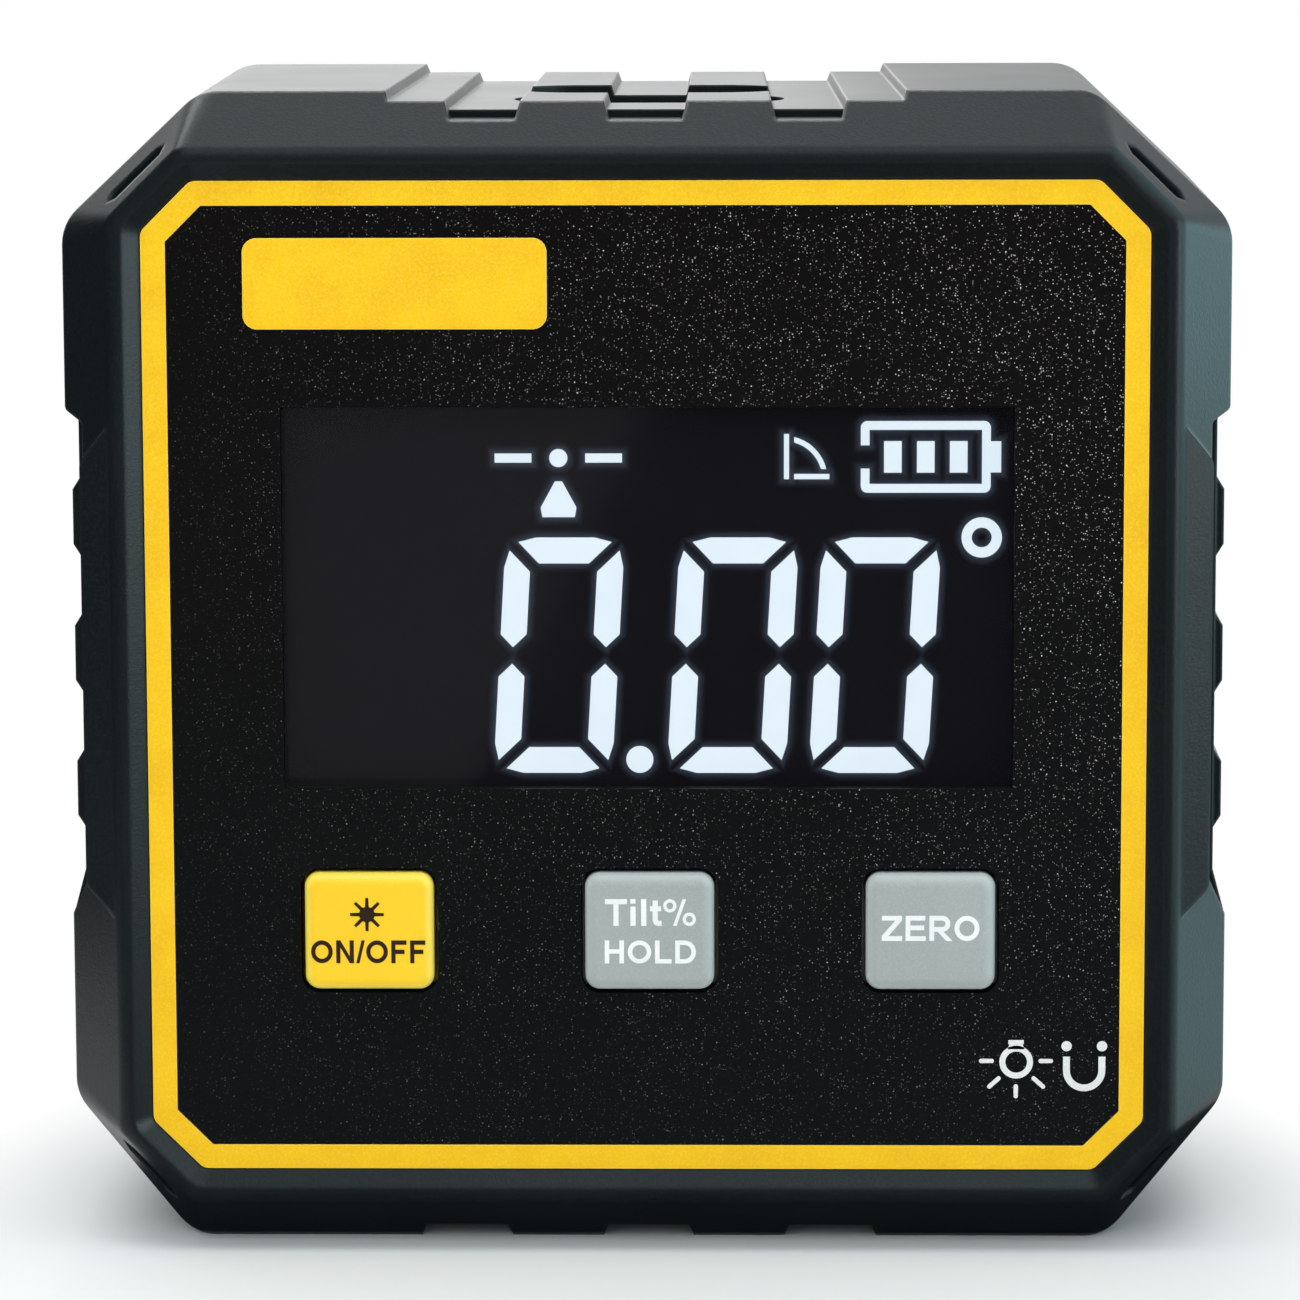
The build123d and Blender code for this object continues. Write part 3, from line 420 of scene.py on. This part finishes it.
# Soft halo of the lit segments: flat rings round their fronts that fade outwards
haloLook = {"colour": (0.52, 0.70, 1.0), "wide": 0.52 * mm, "sink": 0.03 * mm, "peak": 0.070,
            "mitre": 1.5, "least": 0.01, "frontal": 0.9, "hazeSize": 2 * mm, "haze": 0.2}


def haloMaterial():
    paint = Paint("segmentHalo")
    fade = paint.add("ShaderNodeAttribute", {"attribute_name": "glow"}, out="Fac")
    haze = 1 - haloLook["haze"] / 2 + paint.noise(haloLook["hazeSize"]) * haloLook["haze"]
    return paint.set(baseColor=(0, 0, 0), emissionColor=haloLook["colour"],
                     emissionStrength=segmentLook["strength"], specularIorLevel=0.0,
                     alpha=fade * fade * haze * haloLook["peak"])


def segmentHalo():
    fronts = copyOf("display_segments")
    bmesh.ops.remove_doubles(fronts, verts=fronts.verts, dist=weld)
    others = [f for f in fronts.faces if f.normal.y > -haloLook["frontal"]]
    bmesh.ops.delete(fronts, geom=others, context="FACES")
    rim = [e for e in fronts.edges if e.is_boundary]
    outward = {}
    for e in rim:
        along = (e.verts[1].co - e.verts[0].co).normalized()
        aside = along.cross(Vector((0, 1, 0)))
        if aside.dot(e.link_faces[0].calc_center_median() - e.verts[0].co) > 0:
            aside = -aside
        for v in e.verts:
            outward.setdefault(v, []).append(aside)
    halo = bmesh.new()
    glow = halo.verts.layers.float.new("glow")
    for e in rim:
        inner, outer = [], []
        for v in e.verts:
            both = sum(outward[v], Vector())        # shorter where the rim turns more
            stretch = min(2 / max(both.length_squared, haloLook["least"]), haloLook["mitre"])
            place = v.co + Vector((0, haloLook["sink"], 0))
            inner.append(halo.verts.new(place))
            outer.append(halo.verts.new(place + both * stretch * haloLook["wide"]))
            inner[-1][glow] = 1.0
        halo.faces.new((*inner, *reversed(outer)))
    fronts.free()
    bmesh.ops.remove_doubles(halo, verts=halo.verts, dist=weld)
    towardsViewer(halo)
    finished(halo, "segmentHalo", haloMaterial(), "housing", smooth=False)


segmentHalo()
print("display lens and halo made")

# Key caps: rounded corners, softly rolled front edges, a flange that keeps them in, a stem behind
capLook = {"corner": 0.8 * mm, "cornerSteps": 8, "roll": 0.70 * mm, "rollSteps": 8, "lip": 1.0 * mm,
           "flangeFront": 3.35 * mm, "flange": 0.8 * mm, "stem": 1.4 * mm}
# rim colours: a painted highlight on the rolled edges of the caps
keyYellowLook = {"colour": (0.96, 0.60, 0.010), "shade": (0.94, 0.56, 0.008),
                 "edge": (1.0, 0.80, 0.06), "roughness": 0.40, "grainSize": 0.09 * mm,
                 "grainDepth": 0.004 * mm, "grainTone": 0.15, "paintedEdgeLightShare": 0.3,
                 "edgeRadius": 0.12 * mm, "specular": 0.4,
                 "rim": (1.0, 0.86, 0.13), "rimHighlightTone": 0.75, "rimHighlightSpread": 0.38}
keyGreyLook = {"colour": (0.345, 0.385, 0.374), "shade": (0.325, 0.366, 0.356),
               "edge": (0.52, 0.58, 0.56), "roughness": 0.42, "grainSize": 0.09 * mm,
               "grainDepth": 0.004 * mm, "grainTone": 0.25, "paintedEdgeLightShare": 0.3,
               "edgeRadius": 0.12 * mm, "specular": 0.4,
               "rim": (0.50, 0.56, 0.55), "rimHighlightTone": 0.75, "rimHighlightSpread": 0.38}


def block(mesh, low, high):         # a box between two corners
    low, high = Vector(low), Vector(high)
    made = bmesh.ops.create_cube(mesh, size=1)["verts"]
    bmesh.ops.scale(mesh, vec=high - low, verts=made)
    bmesh.ops.translate(mesh, vec=(low + high) / 2, verts=made)


def alongY(edge):
    a, b = edge.verts
    return abs(a.co.y - b.co.y) > 0.5 * (a.co - b.co).length


def bevelled(mesh, edges, reach, steps):
    bmesh.ops.bevel(mesh, geom=edges, offset=reach, offset_type="OFFSET", segments=steps,
                    profile=0.5, affect="EDGES", material=-1)


def keyCap(node, name, body, material):
    low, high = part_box(node)
    lip, stem = capLook["lip"], capLook["stem"]
    behind = low.y + capLook["flangeFront"]
    flangeRear = behind + capLook["flange"]
    centre = (low + high) / 2
    mesh = bmesh.new()
    block(mesh, (low.x + lip, low.y, low.z + lip), (high.x - lip, behind, high.z - lip))
    bevelled(mesh, [e for e in mesh.edges if alongY(e)], capLook["corner"], capLook["cornerSteps"])
    front = [e for e in mesh.edges if all(v.co.y < low.y + weld for v in e.verts)]
    bevelled(mesh, front, capLook["roll"], capLook["rollSteps"])
    block(mesh, (low.x, behind, low.z), (high.x, flangeRear, high.z))
    block(mesh, (centre.x - stem, flangeRear, centre.z - stem),
          (centre.x + stem, high.y, centre.z + stem))
    outwards(mesh)
    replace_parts(finished(mesh, name, material, body), node)


yellowKey = surface("keyYellow", keyYellowLook)
greyKey = surface("keyGrey", keyGreyLook)
keyCap("power_key", "powerCap", "power_button", yellowKey)
keyCap("hold_key", "holdCap", "hold_button", greyKey)
keyCap("zero_key", "zeroCap", "zero_button", greyKey)
print("key caps made")

# Printed words and signs: thin raised ink, drawn in millimetres from the middle of the face
inkLook = {"thickness": 0.012 * mm, "gap": 0.004 * mm, "shade": 0.93, "edge": 0.8,
           "whiteKey": (0.86, 0.88, 0.88), "darkKey": (0.030, 0.014, 0.006),
           "whitePanel": (0.74, 0.76, 0.76)}
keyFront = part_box("power_key")[0].y
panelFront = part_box("face_panel")[0].y


def ink(name, colour):
    # The darker edge colour tints the grain and paints shade along the ink's edges
    look = {"colour": colour, "shade": [c * inkLook["shade"] for c in colour],
            "edge": [c * inkLook["edge"] for c in colour], "edgeRadius": 0.01 * mm, "paintedEdgeLightShare": 0.1,
            "roughness": 0.5, "grainSize": 0.07 * mm, "grainDepth": 0.003 * mm, "grainTone": 0.35,
            "cloudSize": 1.5 * mm, "specular": 0.3}
    return surface(name, look)


whiteKeyInk = ink("whiteKeyInk", inkLook["whiteKey"])
darkKeyInk = ink("darkKeyInk", inkLook["darkKey"])
whitePanelInk = ink("whitePanelInk", inkLook["whitePanel"])


def printed(mesh, name, front, material, body):     # a flat drawing made into raised ink
    outwards(mesh)
    bmesh.ops.scale(mesh, vec=(mm, mm, mm), verts=mesh.verts)
    towardsViewer(mesh)
    bmesh.ops.translate(mesh, vec=(0, front - inkLook["gap"], middle), verts=mesh.verts)
    raised = bmesh.ops.extrude_face_region(mesh, geom=mesh.faces[:], use_keep_orig=True)["geom"]
    bmesh.ops.translate(mesh, vec=(0, -inkLook["thickness"], 0), verts=vertsOf(raised))
    outwards(mesh)
    finished(mesh, name, material, body, smooth=False)


def ribbon(mesh, points, wide, closed=False):      # a line of even width with mitred corners
    places = [Vector(point) for point in points]
    rows = []
    for i, here in enumerate(places):
        ways = []
        if i or closed:
            ways.append((here - places[i - 1]).normalized())
        if closed or i < len(places) - 1:
            ways.append((places[(i + 1) % len(places)] - here).normalized())
        along = sum(ways, Vector((0, 0))).normalized()
        across = Vector((-along.y, along.x))
        across *= wide / 2 / across.dot(Vector((-ways[0].y, ways[0].x)))
        rows.append([mesh.verts.new((p.x, 0, p.y)) for p in (here + across, here - across)])
    if closed:
        rows.append(rows[0])
    for (a, b), (c, d) in zip(rows, rows[1:]):
        mesh.faces.new((a, b, d, c))


def arc(x, y, wide, tall, start=0, end=360, steps=24):
    angles = [math.radians(start + (end - start) * i / steps) for i in range(steps + 1)]
    return [(x + wide * math.cos(a), y + tall * math.sin(a)) for a in angles]


def ring(x, y, wide, tall, line):       # a closed line of that width inside an oval
    return arc(x, y, wide - line / 2, tall - line / 2)[:-1]


# Plain bold letters in a box one unit high: their advance, then lines and shapes
pen = 0.19                # width of the lines
half = pen / 2
thin = 0.12               # width of the rings of the per cent sign
stem = 0.10 + half        # centre of the left stem
side = 0.10 + pen         # its right side
waist = 0.52              # height of the middle bars
bowlTop, bowlFoot, bowlX, bowlReach = 1 - half, 0.46, 0.60, 0.22
bowl = arc(bowlX, (bowlTop + bowlFoot) / 2, bowlReach, (bowlTop - bowlFoot) / 2, 90, -90, 14)
leftStem = [(stem, 0), (stem, 1)]
rightStem = [(1 - stem, 0), (1 - stem, 1)]
letters = {
    "H": (1.00, {"open": [leftStem, rightStem, [(side, waist), (1 - side, waist)]]}),
    "O": (1.09, {"closed": [ring(0.545, 0.5, 0.49, 0.5, pen)]}),
    "L": (0.84, {"open": [[(stem, 1), (stem, half), (0.79, half)]]}),
    "D": (1.02, {"closed": [[(stem, half), *arc(0.50, 0.5, 0.46 - half, 0.5 - half, -90, 90, 16),
                             (stem, 1 - half)]]}),
    "Z": (0.86, {"open": [[(0.04, 1 - half), (0.82, 1 - half)], [(0.03, half), (0.83, half)]],
                 "shape": [[(0.03, pen), (0.29, pen), (0.82, 1 - pen), (0.56, 1 - pen)]]}),
    "E": (0.93, {"open": [[(0.87, 1 - half), (stem, 1 - half), (stem, half), (0.89, half)],
                          [(side, waist), (0.83, waist)]]}),
    "R": (1.02, {"open": [leftStem, [(side, bowlTop), *bowl, (side, bowlFoot)]],
                 "shape": [[(0.42, bowlFoot - half), (0.66, bowlFoot - half), (1.00, 0),
                            (0.76, 0)]]}),
    "N": (1.00, {"open": [leftStem, rightStem],
                 "shape": [[(side, 1), (side, 0.69), (1 - side, 0), (1 - side, 0.31)]]}),
    "F": (0.85, {"open": [[(0.79, 1 - half), (stem, 1 - half), (stem, 0)],
                          [(side, 0.50), (0.70, 0.50)]]}),
    "/": (0.40, {"shape": [[(0.0, 0), (0.15, 0), (0.40, 1), (0.25, 1)]]}),
    "T": (0.84, {"open": [[(0.02, 1 - half), (0.82, 1 - half)], [(0.42, 1 - pen), (0.42, 0)]]}),
    "i": (0.39, {"open": [[(stem, 0), (stem, 0.72)], [(stem, 0.83), (stem, 1)]]}),
    "l": (0.39, {"open": [leftStem]}),
    "t": (0.48, {"open": [[(0.22, 0.95), (0.22, 0.22), (0.25, 0.13), (0.32, half), (0.45, half)],
                          [(0.03, 0.64), (0.22 - half, 0.64)],
                          [(0.22 + half, 0.64), (0.43, 0.64)]]}),
    "%": (1.24, {"thin": [ring(0.27, 0.75, 0.24, 0.25, thin), ring(0.97, 0.25, 0.24, 0.25, thin)],
                 "shape": [[(0.38, 0), (0.51, 0), (0.86, 1), (0.73, 1)]]}),
}


def word(text, name, box, material, body):       # box: left, top, right, bottom
    left, top, right, bottom = box
    mesh = bmesh.new()
    reach = 0.0
    for letter in text:
        advance, parts = letters[letter]
        for kind, lines in parts.items():
            for line in lines:
                placed = [(x + reach, y) for x, y in line]
                if kind == "shape":
                    mesh.faces.new([mesh.verts.new((x, 0, y)) for x, y in placed])
                else:
                    ribbon(mesh, placed, thin if kind == "thin" else pen, closed=kind != "open")
        reach += advance
    xs = [v.co.x for v in mesh.verts]
    start, wide = min(xs), (right - left) / (max(xs) - min(xs))
    for v in mesh.verts:
        v.co = (left + (v.co.x - start) * wide, 0, bottom + v.co.z * (top - bottom))
    printed(mesh, name, keyFront, material, body)


def circle(mesh, radius, steps, filled=True):
    verts = bmesh.ops.create_circle(mesh, segments=steps, radius=radius, cap_ends=filled)["verts"]
    bmesh.ops.rotate(mesh, verts=verts, matrix=Matrix.Rotation(math.radians(90), 3, "X"))
    return verts


def disc(mesh, x, z, radius, inner=0.0, steps=32):      # with a hole, if inner is given
    verts = circle(mesh, radius, steps, filled=not inner)
    bmesh.ops.translate(mesh, vec=(x, 0, z), verts=verts)
    if inner:
        edges = list(dict.fromkeys(e for v in verts for e in v.link_edges))
        grown = bmesh.ops.extrude_edge_only(mesh, edges=edges)["geom"]
        bmesh.ops.scale(mesh, vec=(inner / radius, 1, inner / radius), verts=vertsOf(grown),
                        space=Matrix.Translation((-x, 0, -z)))


def dash(mesh, start, end, wide):       # a bar with round ends
    first, last = Vector(start), Vector(end)
    along = (last - first).normalized()
    for v in circle(mesh, wide / 2, steps=16):
        ahead = v.co.x * along.x + v.co.z * along.y > 0
        centre = last - along * wide / 2 if ahead else first + along * wide / 2
        v.co += Vector((centre.x, 0, centre.y))


def stroke(mesh, start, end, wideStart, wideEnd):       # a straight bar that may taper
    start, end = Vector(start), Vector(end)
    along = (end - start).normalized()
    across = Vector((-along.y, along.x))
    corners = [start + across * wideStart / 2, start - across * wideStart / 2,
               end - across * wideEnd / 2, end + across * wideEnd / 2]
    mesh.faces.new([mesh.verts.new((c.x, 0, c.y)) for c in corners])


# Star over the word of the power key
starLook = {"x": -14.90, "z": -12.53, "core": 0.42, "root": 0.378, "reach": 0.90, "rays": 8,
            "foot": 0.20, "tip": 0.16}


def powerStar():
    mesh = bmesh.new()
    disc(mesh, starLook["x"], starLook["z"], starLook["core"])
    centre = Vector((starLook["x"], starLook["z"]))
    for turn in range(starLook["rays"]):
        angle = math.tau * turn / starLook["rays"]
        way = Vector((math.cos(angle), math.sin(angle)))
        stroke(mesh, centre + way * starLook["root"], centre + way * starLook["reach"],
               starLook["foot"], starLook["tip"])
    printed(mesh, "powerStar", keyFront, darkKeyInk, "power_button")


# Lamp sign: ring with a cap and a neck, rays beside it and round its lower half
lampLook = {"x": 19.71, "z": -20.62, "outer": 0.90, "inner": 0.58,
            "cap": ((19.70, -19.42), (19.70, -19.64), 0.82, 0.82),
            "neck": ((19.70, -19.64), (19.70, -19.92), 0.68, 0.92), "ray": 0.24,
            "rays": (((17.72, -20.56), (18.52, -20.56)), ((20.90, -20.56), (21.68, -20.56)),
                     ((19.70, -21.83), (19.70, -22.60)), ((18.86, -21.43), (18.20, -22.04)),
                     ((20.56, -21.43), (21.24, -22.04)))}


def lampSign():
    mesh = bmesh.new()
    disc(mesh, lampLook["x"], lampLook["z"], lampLook["outer"], lampLook["inner"])
    stroke(mesh, *lampLook["cap"])
    stroke(mesh, *lampLook["neck"])
    for start, end in lampLook["rays"]:
        dash(mesh, start, end, lampLook["ray"])
    printed(mesh, "lampSign", panelFront, whitePanelInk, "housing")


# Magnet sign: a horseshoe and two dots above its ends
magnetLook = {"x": 23.34, "z": -21.08, "radius": 1.13, "stroke": 0.37, "legs": 0.76, "steps": 20,
              "dot": 0.28, "dotZ": -19.75}


def magnetSign():
    x, z, legs, steps = (magnetLook[key] for key in ("x", "z", "legs", "steps"))
    outer, inner = magnetLook["radius"], magnetLook["radius"] - magnetLook["stroke"]
    mesh = bmesh.new()
    tip = mesh.edges.new([mesh.verts.new((x - r, 0, z + legs)) for r in (outer, inner)])
    leg = bmesh.ops.extrude_edge_only(mesh, edges=[tip])["geom"]
    bmesh.ops.translate(mesh, vec=(0, 0, -legs), verts=vertsOf(leg))
    bow = bmesh.ops.spin(mesh, geom=vertsOf(leg) + edgesOf(leg), cent=(x, 0, z), axis=(0, 1, 0),
                         angle=-math.pi, steps=steps)["geom_last"]
    last = bmesh.ops.extrude_edge_only(mesh, edges=edgesOf(bow))["geom"]
    bmesh.ops.translate(mesh, vec=(0, 0, legs), verts=vertsOf(last))
    for dotX in (x - (outer + inner) / 2, x + (outer + inner) / 2):
        disc(mesh, dotX, magnetLook["dotZ"], magnetLook["dot"], steps=steps)
    printed(mesh, "magnetSign", panelFront, whitePanelInk, "housing")


powerStar()
word("ON/OFF", "powerWord", (-17.90, -13.93, -11.80, -15.17), darkKeyInk, "power_button")
word("Tilt%", "tiltWord", (-2.22, -11.68, 2.62, -13.13), whiteKeyInk, "hold_button")
word("HOLD", "holdWord", (-2.24, -13.92, 2.62, -15.17), whiteKeyInk, "hold_button")
word("ZERO", "zeroWord", (12.50, -12.57, 17.70, -13.93), whiteKeyInk, "zero_button")
lampSign()
magnetSign()
print("words and signs printed")


# Floor, cards and lights, in metres

def staged(mesh, name, material, unseenBy=()):
    data = asData(mesh, name)
    data.materials.append(material)
    made = bpy.data.objects.new(name, data)
    scene.collection.objects.link(made)
    for ray in unseenBy:
        setattr(made, "visible_" + ray, False)


# The floor turns white over the distances behind, beside and around, and curls up far behind
floorLook = {"colour": (0.90, 0.94, 0.95), "shade": 0.99, "cloudSize": 0.05, "roughness": 0.7,
             "behind": (-0.012, 0.045), "beside": (0.026, 0.048), "around": (0.12, 0.26),
             "half": 1.5, "curl": 0.4, "curlSteps": 12, "rise": 1.5}


def sweepMaterial():
    paint = Paint("studioSweep")
    across, depth = paint.axis("X"), paint.axis("Y")
    reach = (across * across + depth * depth) ** 0.5
    away = (depth.ramp(*floorLook["behind"]) + abs(across).ramp(*floorLook["beside"])
            + reach.ramp(*floorLook["around"])).clamped()
    shown = paint.ray("Camera") + paint.ray("Glossy") + paint.ray("Transmission")
    shade = [c * floorLook["shade"] for c in floorLook["colour"]]
    cloud = paint.noise(floorLook["cloudSize"])
    paint.set(baseColor=paint.mix(cloud, floorLook["colour"], shade),
              roughness=floorLook["roughness"], specularIorLevel=0.2)
    white = paint.add("ShaderNodeEmission", {}, {"Color": (1, 1, 1), "Strength": 1.0})
    painted = Wire(paint, paint.shader.outputs[0])
    blend = paint.add("ShaderNodeMixShader")
    for slot, value in enumerate(((away * shown).clamped(), painted, white)):
        paint.tree.links.new(value.socket, blend.socket.node.inputs[slot])
    paint.tree.links.new(blend.socket, paint.output)
    return paint.material


def studioSweep():
    size = floorLook["half"]
    mesh = bmesh.new()
    bmesh.ops.create_grid(mesh, x_segments=2, y_segments=2, size=size)
    rear = [e for e in mesh.edges if all(v.co.y > size - weld for v in e.verts)]
    ends = list(dict.fromkeys(v for e in rear for v in e.verts))
    curl = bmesh.ops.spin(mesh, geom=rear + ends, cent=(0, size, floorLook["curl"]),
                          axis=(1, 0, 0), angle=math.radians(90),
                          steps=floorLook["curlSteps"])["geom_last"]
    rise = bmesh.ops.extrude_edge_only(mesh, edges=edgesOf(curl))["geom"]
    bmesh.ops.translate(mesh, vec=(0, 0, floorLook["rise"]), verts=vertsOf(rise))
    staged(mesh, "studioSweep", sweepMaterial())


def card(name, corners, glow):      # a glowing card, dark to bright, that only reflections see
    paint = Paint(name)
    light = paint.add("ShaderNodeEmission", {}, {"Color": glow, "Strength": 1.0})
    paint.tree.links.new(light.socket, paint.output)
    mesh = bmesh.new()
    mesh.faces.new([mesh.verts.new(corner) for corner in corners])
    staged(mesh, name, paint.material,
           unseenBy=("camera", "diffuse", "shadow", "transmission", "volume_scatter"))


def wall(name, x, yFrom, yTo, foot, top, glow):
    card(name, [(x, yFrom, foot), (x, yTo, foot), (x, yTo, top), (x, yFrom, top)], glow)


def mat(name, xFrom, xTo, yFrom, yTo, z, glow):
    card(name, [(xFrom, yFrom, z), (xTo, yFrom, z), (xTo, yTo, z), (xFrom, yTo, z)], glow)


studioSweep()

# Upright walls: x, y from and to, foot, top, glow. Flat mats: x from and to, y from and to, z, glow
card("frontCard", [(-0.50, -0.45, 0.001), (0.30, -0.45, 0.001), (0.30, -0.45, 0.30),
                   (-0.50, -0.45, 0.30)], (0.035, 0.036, 0.040))
mat("frontFloorCard", -0.50, 0.30, -0.45, -0.04, 0.0012, (0.020, 0.021, 0.024))
# Dark mat under the object, seen only in reflections: painted shade of the floor beneath it
mat("footShadeCard", -0.031, 0.040, -0.04, 0.05, 0.0002, (0.020, 0.021, 0.024))
mat("rightFloorCard", 0.05, 0.14, -0.10, 0.12, 0.0003, (1.3, 2.0, 2.1))
mat("topCard", -0.30, 0.10, 0.28, 0.42, 0.46, (12.0, 12.6, 12.6))
card("displayCard", [(-0.40, -0.45, 0.0014), (-0.007, -0.45, 0.0014), (-0.0184, -0.07, 0.0014),
                     (-0.40, -0.07, 0.0014)], (0.33, 0.33, 0.325))
wall("leftCard", -0.30, -0.45, 0.30, 0.0003, 0.45, (0.02, 0.02, 0.022))
wall("rightCard", 0.14, -0.10, 0.12, 0.0003, 0.010, (1.7, 2.6, 2.8))
wall("rightMidCard", 0.14, -0.10, 0.12, 0.010, 0.026, (0.20, 0.26, 0.28))
wall("rightHighCard", 0.14, -0.10, 0.12, 0.026, 0.075, (2.0, 3.2, 3.4))
mat("skyCard", 0.0, 0.35, -0.40, -0.10, 0.45, (1.7, 2.25, 2.4))
wall("rightSkyCard", 0.30, -0.20, 0.12, 0.16, 0.42, (1.1, 1.9, 2.2))
wall("crestCard", 0.16, -0.22, -0.07, 0.0003, 0.10, (5.0, 5.8, 6.0))
wall("leftNearCard", -0.09, -0.45, 0.06, 0.0003, 0.30, (0.012, 0.012, 0.014))


def softbox(name, place, wide, tall, radiance, tint=(1, 1, 1), mirrored=False):
    lamp = bpy.data.lights.new(name, "AREA")
    lamp.shape = "RECTANGLE"
    lamp.size = wide
    lamp.size_y = tall
    lamp.energy = radiance * math.pi * wide * tall
    lamp.color = tint
    made = bpy.data.objects.new(name, lamp)
    scene.collection.objects.link(made)
    way = Vector(place) - Vector((0, 0, middle))
    turn = way.to_track_quat("Z", "Y").to_matrix().to_4x4()
    made.matrix_world = Matrix.Translation(place) @ turn
    made.visible_camera = False
    made.visible_glossy = mirrored


softbox("keyBox", (-0.05, -0.48, 0.29), 0.36, 0.36, 3.65)
softbox("rightBox", (0.50, -0.10, 0.10), 0.36, 0.30, 1.2, (0.84, 0.96, 1.0))
softbox("topBox", (-0.02, -0.07, 0.54), 0.60, 0.40, 2.0)
softbox("rearBox", (-0.24, 0.70, 0.20), 0.56, 0.20, 1.3, mirrored=True)

worldLook = {"colour": (0.97, 0.99, 1.0), "ambient": 0.42}


def studioWorld():      # full strength where it is seen or mirrored, dimmer as light
    world = bpy.data.worlds.new("studio")
    scene.world = world
    world.use_nodes = True
    tree = world.node_tree
    path = tree.nodes.new("ShaderNodeLightPath")
    seen = path.outputs["Is Camera Ray"]
    for kind in ("Glossy", "Transmission"):
        either = tree.nodes.new("ShaderNodeMath")
        either.operation = "MAXIMUM"
        tree.links.new(seen, either.inputs[0])
        tree.links.new(path.outputs[f"Is {kind} Ray"], either.inputs[1])
        seen = either.outputs[0]
    level = tree.nodes.new("ShaderNodeMapRange")
    level.inputs["To Min"].default_value = worldLook["ambient"]
    level.inputs["To Max"].default_value = 1.0
    tree.links.new(seen, level.inputs["Value"])
    background = tree.nodes["Background"]
    tree.links.new(level.outputs[0], background.inputs["Strength"])
    background.inputs["Color"].default_value = (*worldLook["colour"], 1)


studioWorld()
print("studio set")
